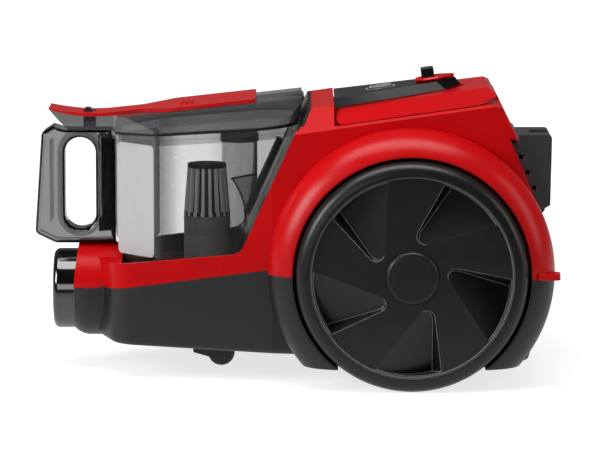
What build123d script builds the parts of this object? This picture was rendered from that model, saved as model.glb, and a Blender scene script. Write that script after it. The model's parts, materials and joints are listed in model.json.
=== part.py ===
from build123d import *
from math import cos, radians, sin, tan
import os

os.makedirs("parts", exist_ok=True)

# Moulding walls and gaps
wall = 3.0
fit_gap = 0.3
slide_gap = 0.6
running_gap = 0.05

# Body in plan, half outline from the nose to the tail
plan_front_x = -150.0
plan_front_half = 24.0
flare_x = -136.0
flare_half = 66.0
flare_round = 24.0
shoulder_x = -16.0
body_half = 86.0
body_rear_x = 197.0
rear_round = 40.0

# Body in side view
floor_front_z = 26.0
floor_rear_x = 178.0
floor_rear_z = 15.3
floor_round = 5.0
tail_low_z = 80.0
tail_mid_z = 92.0
band_front_x = -137.0
band_front_z = 87.3
pillar_foot_x = -40.5
pillar_foot_z = 97.6
pillar_round = 12.0
pillar_top_x = 14.4
pillar_top_z = 218.3
seam_nose_x = -152.0
seam_nose_z = 64.6
seam_bend_x = -139.0
seam_bend_z = 67.6
seam_arch_x = -16.0
seam_arch_z = 86.4
seam_tail_z = 84.0

# Sloping deck under the carry handle
deck_angle = 8.0
deck_x = 31.0
deck_z = 195.2
deck_end_x = 146.0
tail_top_x = 158.0
tail_top_z = 209.5
crease_drop = 1.8
block_height = 14.0
shoulder_inset = 20.0

# Exhaust face at the tail
exhaust_top_x = 163.0
exhaust_top_z = 187.0
exhaust_low_x = 189.5
exhaust_low_z = 124.5
exhaust_lip_x = 170.8
exhaust_lip_z = 183.8
tail_face_half = 72.0
tail_reach = 4.0
tail_chamfer = 4.0
tail_round = 3.0

# Hose socket at the nose
socket_z = 59.6
socket_half = 31.0
socket_front_x = -185.7
socket_bore = 22.5
socket_depth = 34.0
socket_round = 4.5
duct_bore = 13.0
duct_wall = 2.0
nose_half = 36.2
nose_front_x = -169.5
nose_round = 12.0
hood_lean = 3.5
port_x = -104.0
bend_radius = 24.0
outlet_radius = 12.0

# Wheels
wheel_radius = 87.0
wheel_x = 89.0
wheel_gap = 15.0
wheel_width = 33.0
rim_radius = 76.5
disc_inset = 3.5
disc_hollow = 4.0
rim_lip = 1.2
lip_height = 1.2
tyre_round = 9.0
hub_radius = 20.0
hub_proud = 1.0
hub_depth = 4.5
hub_boss = 26.0
axle_radius = 5.0
axle_plate = 22.0
axle_plate_thick = 3.0
retainer_radius = 11.0
retainer_thick = 1.6
axle_tail = 10.0
axle_nose = 3.0
axle_shoulder = 10.0
axle_chamfer = 1.0
nut_radius = 9.0
nut_thick = 5.0
washer_radius = 16.0
washer_thick = 2.0
hub_round = 3.0
pocket_count = 5
pocket_tip = 22.0
pocket_reach = 74.0
pocket_tip_angle = -8.0
pocket_wall_angle = 18.8
pocket_ramp_angle = 57.9
pocket_depth = 11.0
pocket_slope = 30.0
pocket_over = 1.25
pocket_tip_round = 6.0
pocket_ramp = 34.0

# Wheel arches
arch_gap = 2.6
arch_band = 18.0
arch_inset = 9.0
arch_lip = 1.6
arch_bend = 45.0
arch_offset = 10.0
arch_web = 3.0
arch_hole = 27.0
arch_foot_z = 16.4
tab_length = 18.0
tab_proud = 3.4
tab_half = 8.0
tab_inset = 7.0
tab_height = 4.6

# Front caster
caster_x = -75.0
caster_trail = 19.0
roller_radius = 10.4
roller_half = 11.0
roller_pin = 2.0
cup_radius = 35.0
cup_low_z = 20.0
cup_top_z = 36.0
cup_wall = 2.5
stem_radius = 5.0
stem_top_z = 45.0
cup_boss = 10.0
fork_thick = 3.0
fork_plate_z = 28.5
fork_half = 15.0
fork_end = 5.5
fork_nose = 21.6
fork_nose_z = 11.1

# Dust bin
bin_wall = 2.6
bin_front_x = -137.0
bin_front_half = 27.0
bin_corner_x = -103.0
bin_corner_half = 65.0
bin_side_gap = 4.8
bin_corner_round = 10.0
bin_rear_round = 34.0
bin_floor_z = 80.0
bin_chin_z = 108.0
bin_chin_x = -125.0
pillar_cheek = 2.0
bin_pillar_gap = 1.0
well_gap = 2.5
well_floor_z = 77.0
band_wall = 3.2
rim_x = -67.0
rim_z = 189.0
rim_angle = 4.0
rim_flange = 2.4
rim_flange_height = 3.4

# Bin lid
lid_front_x = -139.0
lid_front_z = 196.2
lid_rear_x = 8.6
lid_rear_z = 212.6
lid_top_half = 40.0
lid_slope_width = 38.0
lid_slope_drop = 15.0
lid_wall = 2.4
lid_tip_round = 2.0
hinge_x = 5.2
hinge_z = 209.4
hinge_pin = 1.5
hinge_knuckle = 3.4
hinge_half = 22.0
hinge_ear = 5.0
seal_thick = 2.0
seal_width = 3.2
plate_thick = 2.6
plate_rear_x = -29.0
plate_half = 38.0
plate_neck_half = 17.0
plate_neck_x = -92.0
lip_x = -188.3
lip_z = 201.0
lip_half = 17.0
chin_half = 14.0
chin_low_z = 185.2
chin_front_x = -174.0
throat_bulge = 7.5
bump_count = 3
bump_pitch = 4.0
bump_x = -86.0
bump_radius = 1.5
bump_half = 15.0

# Lid latch button
latch_x = -157.5
latch_length = 8.0
latch_half = 6.5
latch_top_z = 200.8
latch_low_z = 190.6
latch_slope = 3.0
latch_round = 1.0

# Bin handle
grip_half = 13.0
grip_left_x = -200.0
grip_shoulder_x = -194.6
grip_shoulder_z = 182.0
grip_low_z = 96.4
grip_corner_z = 104.0
grip_corner_x = -184.0
grip_slot_x = -176.6
grip_slot_end_x = -152.8
grip_slot_low_z = 107.4
grip_slot_top_z = 178.6
grip_round = 5.0
grip_edge_round = 3.8
spine_half = 8.0
spine_thick = 11.0

# Filter and cyclone inside the bin
cone_x = -67.0
cone_low_z = 117.4
cone_top_z = 157.4
cone_low_radius = 18.0
cone_top_radius = 14.8
cone_ribs = 18
rib_thick = 2.0
rib_depth = 2.4
cone_cap = 3.0
pedestal_radius = 18.0
pedestal_ring_z = 103.0
pedestal_wall = 2.5
riser_x = -42.0
riser_y = 22.0
riser_radius = 14.0
riser_wall = 2.0
riser_top_z = 172.0
riser_cap_radius = 15.0
riser_cap_height = 7.0
vane_tip_x = -38.5
vane_tip_z = 109.0
vane_bend_x = -40.0
vane_bend_z = 128.0
vane_near_x = -48.5
vane_far_x = -28.0
vane_near_z = 145.0
vane_far_z = 149.0
vane_thick = 2.0
label_thick = 0.6
label_margin = 4.0
label_side = 4.2
label_low_z = 92.0
label_top_z = 178.0

# Control panel
panel_half = 44.0
panel_waist = 22.0
panel_top_half = 36.0
panel_top_waist = 19.0
panel_length = 88.0
panel_front = 2.6
panel_tip = 101.0
panel_top_length = 82.0
panel_top_tip = 97.0
panel_base = 9.4
panel_height = 6.6
spine_wall = 2.5
spine_inset = 1.2
button_along = 39.0
button_radius = 9.8
button_proud = 1.0
button_cap = 3.0
button_round = 0.8
button_stem = 3.0
button_travel = 2.5
pod_start = 66.0
pod_end = 97.0
pod_half = 13.0
pod_height = 2.6
pod_round = 1.5
pod_chamfer = 1.2
knob_along = 76.5
knob_length = 10.0
knob_half = 7.0
knob_height = 7.2
knob_round = 1.2
knob_ridges = 7
ridge_pitch = 1.25
ridge_width = 0.5
ridge_depth = 0.5
knob_stem_half = 1.6
knob_forward = 5.0
knob_back = 12.0

# Carry handle
arm_height = 9.2
arm_foot_inset = 1.5
pivot_along = 6.7
pivot_radius = 2.5
pivot_inner = 34.0
pivot_outer = 58.0
arm_inner = 44.8
arm_straight = 16.0
grip_start = 90.0
grip_inner = 24.0
grip_notch = 104.5
grip_top_half = 38.0
grip_sweep = 86.0
grip_tail_half = 46.0
grip_peak = 120.0
grip_peak_round = 2.0
grip_step = 119.0
grip_tip = 126.5
grip_tip_height = 2.6
grip_tip_round = 1.2
finger_half = 34.0
finger_depth = 11.0
finger_start = 110.0

# Exhaust cover with the parking box
cover_top_x = 172.6
cover_top_z = 183.0
cover_low_x = 192.4
cover_low_z = 128.0
cover_half = 52.0
box_half = 28.0
box_rear_x = 198.9
box_low_x = 197.9
box_tip_x = 191.6
box_round = 3.0
box_wall = 3.0
slot_half = 9.0
slot_depth = 16.0
louvre_count = 4
louvre_length = 3.2
louvre_height = 3.4
louvre_pitch = 13.0
louvre_first = 8.0
louvre_offset = 2.7
louvre_depth = 5.0
louvre_tilt = -15.0
window_half = 40.0
window_low = 8.0
window_height = 50.0
filter_thick = 12.0

# Motor and fan
motor_z = 112.0
motor_start_x = 48.0
motor_end_x = 104.0
motor_radius = 44.0
motor_wall = 2.0
shroud_start_x = 30.0
shroud_radius = 50.0
shroud_eye = 17.0
shaft_radius = 4.0
shaft_start_x = 34.0
shaft_end_x = 107.0
core_radius = 24.0
core_start_x = 60.0
core_end_x = 92.0
bearing_radius = 11.0
bearing_width = 7.0
impeller_radius = 44.0
impeller_width = 9.0
impeller_blades = 9
blade_thick = 2.0
blade_angle = 35.0
mount_length = 10.0
mount_post = 8.0

# Motor filter in front of the fan
foam_radius = 46.0
foam_thick = 12.0
grille_thick = 3.0
grille_slots = 5
grille_slot = 7.0
grille_pitch = 15.0

# Cord reel
reel_x = 150.0
reel_z = 74.0
reel_flange = 38.0
reel_drum = 24.0
reel_half = 30.0
reel_flange_thick = 2.0
reel_post = 6.0
spring_case = 30.0
spring_case_thick = 8.0
gland_z = 60.0
gland_side = 58.0
gland_radius = 7.0
gland_bore = 3.6
gland_inside = 12.0
gland_outside = 3.0

# Fasteners and electrics
screw_radius = 2.0
screw_head = 4.0
screw_head_thick = 2.4
screw_length = 14.0
boss_radius = 5.0
post_radius = 6.0
post_low_z = 36.0
post_top_z = 112.0
front_screw_x = -10.0
front_screw_inset = 11.0
rear_screw_x = 160.0
rear_screw_inset = 14.0
board_start = 10.0
board_length = 52.0
board_low = -5.0
board_thick = 1.6
switch_length = 14.0
switch_half = 8.0
switch_top = 3.4

# Shared planes and directions
deck_slope = tan(radians(deck_angle))
deck = Plane(
    origin=(deck_x, 0, deck_z),
    x_dir=(cos(radians(deck_angle)), 0, sin(radians(deck_angle))),
    z_dir=(-sin(radians(deck_angle)), 0, cos(radians(deck_angle))),
)
deck_side = Plane(origin=deck.origin, x_dir=deck.x_dir, z_dir=(0, -1, 0))
deck_cross = Plane(origin=deck.origin, x_dir=(0, 1, 0), z_dir=deck.x_dir)
rim_slope = tan(radians(rim_angle))
lid_slope = (lid_rear_z - lid_front_z) / (lid_rear_x - lid_front_x)
pillar_slope = (pillar_top_x - pillar_foot_x) / (pillar_top_z - pillar_foot_z)
arch_inner = wheel_radius + arch_gap
arch_outer = arch_inner + arch_band
wheel_inner = body_half + wheel_gap
wheel_outer = wheel_inner + wheel_width
disc_face = wheel_outer - disc_inset
disc_back = wheel_inner + disc_hollow
hub_face = wheel_outer + hub_proud
hub_seat = disc_face - hub_depth
axle_inner = body_half - axle_tail
axle_end = hub_seat + axle_nose
arch_edge = wheel_outer - arch_inset
arch_shoulder = body_half + arch_offset
tab_mid = arch_edge - tab_inset
tab_end_x = wheel_x + arch_outer + tab_proud
tab_x = tab_end_x - tab_length
bin_rear_half = body_half - band_wall - bin_side_gap
shoulder_half = body_half - shoulder_inset
arm_foot_half = body_half - arm_foot_inset
front_screw_half = body_half - front_screw_inset
rear_screw_half = body_half - rear_screw_inset
span = 400.0


def deck_height(x):
    """Height of the sloping deck above the ground at a station along the machine."""
    return deck_z + (x - deck_x) * deck_slope


def rim_height(x):
    """Height of the bin rim at a station along the machine."""
    return rim_z + (x - rim_x) * rim_slope


def lid_height(x):
    """Height of the lid's top at a station along the machine."""
    return lid_front_z + (x - lid_front_x) * lid_slope


def pillar_x(z):
    """Station of the leaning pillar face at a height."""
    return pillar_foot_x + (z - pillar_foot_z) * pillar_slope


def well_x(z):
    """Station of the wall behind the bin at a height."""
    return pillar_x(z) + pillar_cheek


def floor_height(x):
    """Height of the body's underside at a station along the machine."""
    run = (x - plan_front_x) / (floor_rear_x - plan_front_x)
    return floor_front_z + run * (floor_rear_z - floor_front_z)


def mirrored(points):
    """Closed outline from one half, given from front to rear on the left side."""
    return points + [(x, -y) for x, y in reversed(points) if y]


def crossed(points):
    """Closed outline from one half of a cross-section, given from the bottom up."""
    return points + [(-x, y) for x, y in reversed(points)]


def side_block(points, half, inset=0.0):
    """Prism across the machine from an outline in the side view."""
    with BuildPart() as block:
        with BuildSketch(Plane.XZ):
            with BuildLine():
                Polyline(*points, close=True)
            make_face()
            if inset:
                offset(amount=-inset, kind=Kind.INTERSECTION)
        extrude(amount=half, both=True)
    return block.part


def save(part, name):
    """Label one piece and write its file."""
    part.label = name
    export_step(part, f"parts/{name}.step")


# Body outlines shared by the two shells
def body_plan(inset):
    """Body outline in plan, shrunk evenly by an inset."""
    half_outline = [
        (plan_front_x, plan_front_half),
        (flare_x, flare_half),
        (shoulder_x, body_half),
        (body_rear_x, body_half),
    ]
    with BuildSketch(Plane.XY) as plan:
        with BuildLine():
            Polyline(*mirrored(half_outline), close=True)
        make_face()
        flares = plan.vertices().filter_by(lambda v: abs(v.X - flare_x) < wall)
        fillet(flares, radius=flare_round)
        ends = plan.vertices().group_by(Axis.X)[-1]
        fillet(ends, radius=rear_round)
        if inset:
            offset(amount=-inset, kind=Kind.INTERSECTION)
    return plan.sketch


def body_block(inset):
    """Whole body as a solid, shrunk evenly by an inset."""
    side = [
        (plan_front_x, floor_front_z),
        (floor_rear_x, floor_rear_z),
        (body_rear_x, tail_low_z),
        (body_rear_x, tail_mid_z),
        (exhaust_low_x, exhaust_low_z),
        (exhaust_top_x, exhaust_top_z),
        (exhaust_lip_x, exhaust_lip_z),
        (tail_top_x, tail_top_z),
        (deck_end_x, deck_height(deck_end_x)),
        (deck_x, deck_z),
        (deck_x, pillar_top_z),
        (pillar_top_x, pillar_top_z),
        (pillar_foot_x, pillar_foot_z),
        (band_front_x, band_front_z),
        (plan_front_x, band_front_z),
    ]
    roof = [
        (body_half, -span),
        (body_half, -crease_drop),
        (shoulder_half, block_height),
    ]
    tail = [
        (body_half, -span),
        (body_half, tail_reach),
        (tail_face_half, tail_reach + tail_chamfer),
        (tail_face_half, span),
    ]
    tail_plane = Plane(
        origin=(exhaust_top_x, 0, exhaust_top_z),
        x_dir=(0, 1, 0),
        z_dir=(exhaust_low_x - exhaust_top_x, 0, exhaust_low_z - exhaust_top_z),
    )
    outline = body_plan(inset)
    with BuildPart() as block:
        with BuildSketch(Plane.XY):
            add(outline)
        extrude(amount=span)
        with BuildSketch(Plane.XZ) as profile:
            with BuildLine():
                Polyline(*side, close=True)
            make_face()
            foot = profile.vertices().sort_by_distance((pillar_foot_x, pillar_foot_z, 0))[0]
            fillet(foot, radius=pillar_round)
            if inset:
                offset(amount=-inset, kind=Kind.INTERSECTION)
        extrude(amount=span, both=True, mode=Mode.INTERSECT)
        with BuildSketch(deck_cross):
            with BuildLine():
                Polyline(*crossed(roof), close=True)
            make_face()
            if inset:
                offset(amount=-inset, kind=Kind.INTERSECTION)
        extrude(amount=span, both=True, mode=Mode.INTERSECT)
        with BuildSketch(tail_plane) as tail_outline:
            with BuildLine():
                Polyline(*crossed(tail), close=True)
            make_face()
            corners = tail_outline.vertices().filter_by(lambda v: abs(v.Y - tail_reach) < wall)
            fillet(corners, radius=tail_round)
            if inset:
                offset(amount=-inset, kind=Kind.INTERSECTION)
        extrude(amount=span, both=True, mode=Mode.INTERSECT)
        bottom = block.faces().sort_by(Axis.Z)[0]
        sides = bottom.edges().filter_by(lambda e: e.center().X > flare_x - flare_round)
        fillet(sides, radius=floor_round - inset)
    return block.part


body = body_block(0.0)
room = body_block(wall)
room_fit = body_block(wall + fit_gap)

well_side = [
    (lid_front_x, span),
    (lid_front_x, bin_chin_z),
    (bin_chin_x - well_gap, well_floor_z),
    (well_x(well_floor_z), well_floor_z),
    (well_x(span), span),
]
well_wall = side_block(well_side, span, inset=-wall)

well_plan = body_plan(band_wall)
with BuildPart() as well_tool:
    with BuildSketch(Plane.XZ):
        with BuildLine():
            Polyline(*well_side, close=True)
        make_face()
    extrude(amount=span, both=True)
    with BuildSketch(Plane.XY):
        add(well_plan)
    extrude(amount=span, mode=Mode.INTERSECT)
well = well_tool.part

seam = [
    (-span, seam_nose_z),
    (seam_nose_x, seam_nose_z),
    (seam_bend_x, seam_bend_z),
    (seam_arch_x, seam_arch_z),
    (body_rear_x, seam_tail_z),
    (span, seam_tail_z),
]
under_seam = side_block(seam + [(span, -span), (-span, -span)], span)
under_gap = side_block([(x, z + fit_gap) for x, z in seam] + [(span, -span), (-span, -span)], span)
over_ground = side_block([(-span, arch_foot_z), (span, arch_foot_z), (span, span), (-span, span)], span)

# Nose around the hose socket
socket_axis = Axis((0, 0, socket_z), (1, 0, 0))
nose_end_x = bin_chin_x
with BuildPart() as nose_tool:
    with BuildSketch(Plane.XZ):
        with BuildLine():
            back = Polyline(
                (nose_front_x, socket_z + socket_half),
                (nose_front_x, socket_z),
                (nose_end_x, socket_z),
                (nose_end_x, socket_z + nose_half),
                (nose_front_x + nose_round, socket_z + nose_half),
            )
            TangentArc(back @ 1, back @ 0, tangent=(-1, 0))
        make_face()
    revolve(axis=socket_axis)
nose = nose_tool.part

with BuildPart() as hood_tool:
    with BuildSketch(Plane.YZ.offset(nose_front_x)):
        with Locations((0, socket_z)):
            Circle(nose_half)
    extrude(amount=nose_end_x - nose_front_x)
    add(
        side_block(
            [
                (nose_front_x, seam_nose_z),
                (nose_end_x, seam_nose_z),
                (nose_end_x, socket_z + nose_half + wall),
                (nose_front_x + hood_lean, socket_z + nose_half + wall),
            ],
            span,
        ),
        mode=Mode.INTERSECT,
    )
hood = hood_tool.part


def finger_block(grow):
    """Finger recess under the rear grip, grown evenly below and beside."""
    with BuildPart() as block:
        with BuildSketch(deck_side):
            with BuildLine():
                Polyline(
                    (finger_start - grow, -finger_depth - grow),
                    (span, -finger_depth - grow),
                    (span, span),
                    (finger_start - grow, span),
                    close=True,
                )
            make_face()
        extrude(amount=finger_half + grow, both=True)
    return block.part


exhaust_run = Vector(exhaust_low_x - exhaust_top_x, 0, exhaust_low_z - exhaust_top_z).normalized()
exhaust_out = Vector(-exhaust_run.Z, 0, exhaust_run.X)
exhaust_face = Plane(origin=(exhaust_top_x, 0, exhaust_top_z), x_dir=(0, 1, 0), z_dir=exhaust_out)

with BuildPart() as hollow_tool:
    add(room)
    add(finger_block(wall), mode=Mode.SUBTRACT)
    with BuildSketch(Plane.YZ.offset(nose_front_x + wall)):
        with Locations((0, socket_z)):
            Circle(nose_half - wall)
    extrude(amount=nose_end_x - nose_front_x)
    add(well_wall, mode=Mode.SUBTRACT)
    with BuildSketch(Plane.YZ.offset(nose_front_x - wall)):
        with Locations((0, socket_z)):
            Circle(socket_half + fit_gap)
    extrude(amount=3 * wall)
hollow = hollow_tool.part


# Wheel arch ring, swept round the left wheel
def arch_ring(start):
    """Arch with its inner web, starting at a distance from the middle plane."""
    wheel_section = Plane(origin=(wheel_x, 0, wheel_radius), x_dir=(1, 0, 0), z_dir=(0, 0, 1))
    lip_radius = arch_inner + arch_lip
    rise = arch_outer - lip_radius
    sweep_out = arch_edge - arch_shoulder
    web_face = body_half + fit_gap + arch_web
    with BuildPart() as ring:
        with BuildSketch(wheel_section):
            with BuildLine():
                outline = Polyline(
                    (arch_outer, -arch_shoulder),
                    (arch_outer, -start),
                    (arch_hole, -start),
                    (arch_hole, -web_face),
                    (arch_inner, -web_face),
                    (arch_inner, -arch_edge),
                    (lip_radius, -arch_edge),
                )
                half_way = (
                    lip_radius + rise * sin(radians(arch_bend)),
                    -arch_shoulder - sweep_out * cos(radians(arch_bend)),
                )
                ThreePointArc(outline @ 1, half_way, outline @ 0)
            make_face()
        revolve(axis=Axis((wheel_x, 0, wheel_radius), (0, 1, 0)))
    return ring.part


def duct_run(radius):
    """Solid path of the inlet duct from the socket up to the bin floor."""
    start = socket_front_x + socket_depth + wall + seal_thick
    with BuildPart() as path:
        with BuildLine():
            run = Line((start, 0, socket_z), (port_x - bend_radius, 0, socket_z))
            RadiusArc(run @ 1, (port_x, 0, socket_z + bend_radius), bend_radius)
        with BuildSketch(Plane.YZ.offset(start)):
            with Locations((0, socket_z)):
                Circle(radius)
        sweep()
    return path.part


duct_outer = duct_bore + duct_wall
duct_way = duct_run(duct_outer + fit_gap)
axle_z = wheel_radius
screw_spots = [
    (front_screw_x, front_screw_half),
    (front_screw_x, -front_screw_half),
    (rear_screw_x, rear_screw_half),
    (rear_screw_x, -rear_screw_half),
]
lower_ring = arch_ring(body_half - wall / 2)

# Lower body shell
with BuildPart() as ring_pair:
    add(lower_ring)
    add(lower_ring.mirror(Plane.XZ))
    add(over_ground, mode=Mode.INTERSECT)
    add(room, mode=Mode.SUBTRACT)

with BuildPart() as base_shell:
    add(body)
    add(nose)
    add(well, mode=Mode.SUBTRACT)
    add(hollow, mode=Mode.SUBTRACT)
    add(ring_pair.part)
    add(under_seam, mode=Mode.INTERSECT)
    for spot_x, spot_y in screw_spots:
        with BuildSketch(Plane.XY.offset(floor_height(spot_x) + wall / 2)):
            with Locations((spot_x, spot_y)):
                Circle(boss_radius)
        extrude(amount=post_low_z - floor_height(spot_x) - wall / 2)
        with BuildSketch(Plane.XY):
            with Locations((spot_x, spot_y)):
                Circle(screw_radius + fit_gap)
        extrude(amount=post_low_z, mode=Mode.SUBTRACT)
        with BuildSketch(Plane.XY):
            with Locations((spot_x, spot_y)):
                Circle(screw_head + fit_gap)
        extrude(amount=floor_height(spot_x) + wall, mode=Mode.SUBTRACT)
    with BuildSketch(Plane.XY.offset(cup_low_z - wall)):
        with Locations((caster_x, 0)):
            Circle(cup_radius + fit_gap)
    extrude(amount=cup_top_z - cup_low_z, mode=Mode.SUBTRACT)
    add(duct_way, mode=Mode.SUBTRACT)
    with BuildSketch(Plane.XY.offset(well_floor_z - 2 * wall)):
        with Locations((cone_x, 0)):
            Circle(outlet_radius)
    extrude(amount=3 * wall, mode=Mode.SUBTRACT)
    with BuildSketch(Plane.XZ):
        with Locations((wheel_x, axle_z)):
            Circle(axle_radius + fit_gap)
    extrude(amount=body_half + 2 * wall, both=True, mode=Mode.SUBTRACT)
    with BuildSketch(Plane.YZ.offset(body_rear_x - 10 * wall)):
        with Locations((gland_side, gland_z)):
            Circle(gland_radius + fit_gap)
    extrude(amount=span, mode=Mode.SUBTRACT)
save(base_shell.part, "base_shell")

# Upper body housing with the hood, band, pillar and deck
def panel_spine_half(along):
    """Half width of the tapering spine under the control panel."""
    run = (along - panel_front) / (panel_length - panel_front)
    return panel_half + run * (panel_waist - panel_half) - spine_inset


with BuildPart() as upper_housing:
    add(body)
    add(hood)
    add(well, mode=Mode.SUBTRACT)
    add(hollow, mode=Mode.SUBTRACT)
    add(under_gap, mode=Mode.SUBTRACT)
    with BuildSketch(deck.offset(-wall)):
        with BuildLine():
            Polyline(
                *mirrored([(-wall, panel_spine_half(-wall)), (panel_length, panel_spine_half(panel_length))]),
                close=True,
            )
        make_face()
    extrude(amount=wall + panel_base)
    hollow_end = panel_length - spine_wall
    with BuildSketch(deck.offset(-3 * wall)):
        with BuildLine():
            Polyline(
                *mirrored([
                    (0, panel_spine_half(0) - spine_wall),
                    (hollow_end, panel_spine_half(hollow_end) - spine_wall),
                ]),
                close=True,
            )
        make_face()
    extrude(amount=3 * wall + panel_base - spine_wall, mode=Mode.SUBTRACT)
    add(duct_way, mode=Mode.SUBTRACT)
    with BuildSketch(deck):
        with Locations((button_along, 0)):
            Circle(button_stem + fit_gap)
    extrude(amount=span, mode=Mode.SUBTRACT)
    with BuildSketch(deck_side):
        with Locations((pivot_along, (arm_height + slide_gap) / 2)):
            Circle(pivot_radius + running_gap)
    extrude(amount=pivot_outer, both=True, mode=Mode.SUBTRACT)
    add(finger_block(0.0), mode=Mode.SUBTRACT)
    with BuildSketch(exhaust_face.offset(-2 * wall)):
        with Locations((0, -window_low - window_height / 2)):
            Rectangle(2 * window_half, window_height)
    extrude(amount=4 * wall, mode=Mode.SUBTRACT)
    for spot_x, spot_y in screw_spots:
        with BuildSketch(Plane.XY.offset(post_low_z + fit_gap)):
            with Locations((spot_x, spot_y)):
                Circle(post_radius)
        extrude(amount=post_top_z - post_low_z - fit_gap)
        with BuildSketch(Plane.XY.offset(seam_arch_z + wall)):
            with Locations((spot_x, (spot_y + (body_half - wall / 2) * spot_y / abs(spot_y)) / 2)):
                Rectangle(wall, body_half - wall / 2 - abs(spot_y))
        extrude(amount=post_top_z - seam_arch_z - wall)
        with BuildSketch(Plane.XY.offset(post_low_z)):
            with Locations((spot_x, spot_y)):
                Circle(screw_radius + running_gap)
        extrude(amount=screw_length, mode=Mode.SUBTRACT)
    with BuildSketch(Plane.XZ):
        with Locations((wheel_x, axle_z)):
            Circle(axle_radius + fit_gap)
    extrude(amount=body_half + 2 * wall, both=True, mode=Mode.SUBTRACT)
save(upper_housing.part, "upper_housing")

# Wheel arches with the small tab at the rear foot
arch_solid = arch_ring(body_half + fit_gap)
with BuildPart() as left_arch:
    with BuildSketch(Plane.XY.offset(seam_tail_z + fit_gap)):
        with Locations(((tab_x + tab_end_x) / 2, -tab_mid)):
            RectangleRounded(tab_end_x - tab_x, 2 * tab_half, tab_half / 2)
    extrude(amount=tab_height)
    with BuildSketch(Plane.XZ):
        with Locations((wheel_x, axle_z)):
            Circle(arch_inner)
    extrude(amount=arch_edge + wall, mode=Mode.SUBTRACT)
    add(arch_solid)
    add(under_gap, mode=Mode.SUBTRACT)
save(left_arch.part, "left_arch")
right_arch = left_arch.part.mirror(Plane.XZ)
save(right_arch, "right_arch")

# Hose socket, its seal and the duct up to the bin
collar_end_x = socket_front_x + socket_depth + wall
flange_front_x = nose_front_x + wall + fit_gap
with BuildPart() as inlet_collar:
    with BuildSketch(Plane.XZ):
        with BuildLine():
            ring = Polyline(
                (socket_front_x, socket_z + socket_half - socket_round),
                (socket_front_x, socket_z + socket_bore),
                (socket_front_x + socket_depth, socket_z + socket_bore),
                (socket_front_x + socket_depth, socket_z + duct_bore),
                (collar_end_x, socket_z + duct_bore),
                (collar_end_x, socket_z + socket_half - wall),
                (flange_front_x + wall, socket_z + socket_half - wall),
                (flange_front_x + wall, socket_z + nose_half - wall - fit_gap),
                (flange_front_x, socket_z + nose_half - wall - fit_gap),
                (flange_front_x, socket_z + socket_half),
                (socket_front_x + socket_round, socket_z + socket_half),
            )
            TangentArc(ring @ 1, ring @ 0, tangent=(-1, 0))
        make_face()
    revolve(axis=socket_axis)
save(inlet_collar.part, "inlet_collar")

with BuildPart() as inlet_seal:
    with BuildSketch(Plane.YZ.offset(collar_end_x)):
        with Locations((0, socket_z)):
            Circle(duct_outer + wall)
            Circle(duct_bore, mode=Mode.SUBTRACT)
    extrude(amount=seal_thick)
save(inlet_seal.part, "inlet_seal")

with BuildPart() as inlet_duct:
    add(duct_run(duct_outer))
    add(duct_run(duct_bore), mode=Mode.SUBTRACT)
    with BuildSketch(Plane.XY.offset(well_floor_z)):
        with Locations((port_x, 0)):
            Circle(2 * duct_outer)
    extrude(amount=span, mode=Mode.SUBTRACT)
save(inlet_duct.part, "inlet_duct")

with BuildPart() as floor_seal:
    with BuildSketch(Plane.XY.offset(well_floor_z)):
        with Locations((port_x, 0)):
            Circle(duct_outer + wall)
            Circle(duct_bore, mode=Mode.SUBTRACT)
        with Locations((cone_x, 0)):
            Circle(outlet_radius + wall)
            Circle(outlet_radius, mode=Mode.SUBTRACT)
    extrude(amount=bin_floor_z - well_floor_z)
save(floor_seal.part, "floor_seal")

# Rear wheel, drawn for the left side and mirrored
wheel_face = Plane(origin=(wheel_x, -disc_face, axle_z), x_dir=(1, 0, 0), z_dir=(0, -1, 0))


def wheel_level(distance):
    """Plane across the wheel at a distance from the middle plane of the machine."""
    return wheel_face.offset(distance - disc_face)


def clock(radius, angle):
    """Point on the wheel face from a radius and an angle clockwise from the top."""
    return (radius * sin(radians(angle)), radius * cos(radians(angle)))


tip = clock(pocket_tip, pocket_tip_angle)


def past_rim(end):
    """Point on the line from the pocket's tip to its end, carried on beyond the rim."""
    return (tip[0] + (end[0] - tip[0]) * pocket_over, tip[1] + (end[1] - tip[1]) * pocket_over)


wall_end = past_rim(clock(pocket_reach, pocket_wall_angle))
ramp_end = past_rim(clock(pocket_reach, pocket_ramp_angle))
ramp_along = Vector(ramp_end[0] - tip[0], ramp_end[1] - tip[1]).normalized()
ramp_square = Vector(-ramp_along.Y, ramp_along.X)
ramp_normal = Vector(ramp_square.X * pocket_depth, ramp_square.Y * pocket_depth, pocket_ramp)
ramp_plane = Plane(
    origin=wheel_face.from_local_coords(Vector(tip[0], tip[1], 0)),
    z_dir=wheel_face.from_local_coords(ramp_normal) - wheel_face.origin,
)
with BuildPart() as pocket_tool:
    with BuildSketch(wheel_face) as pocket_sketch:
        with BuildLine():
            Polyline(tip, wall_end, ramp_end, close=True)
        make_face()
        inner_end = pocket_sketch.vertices().sort_by_distance((tip[0], tip[1], 0))[0]
        fillet(inner_end, radius=pocket_tip_round)
    extrude(amount=-pocket_depth, taper=pocket_slope)
    with BuildSketch(wheel_face):
        Circle(pocket_reach)
    extrude(amount=-pocket_depth, mode=Mode.INTERSECT)
    split(bisect_by=ramp_plane, keep=Keep.TOP)
pocket = pocket_tool.part

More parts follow.
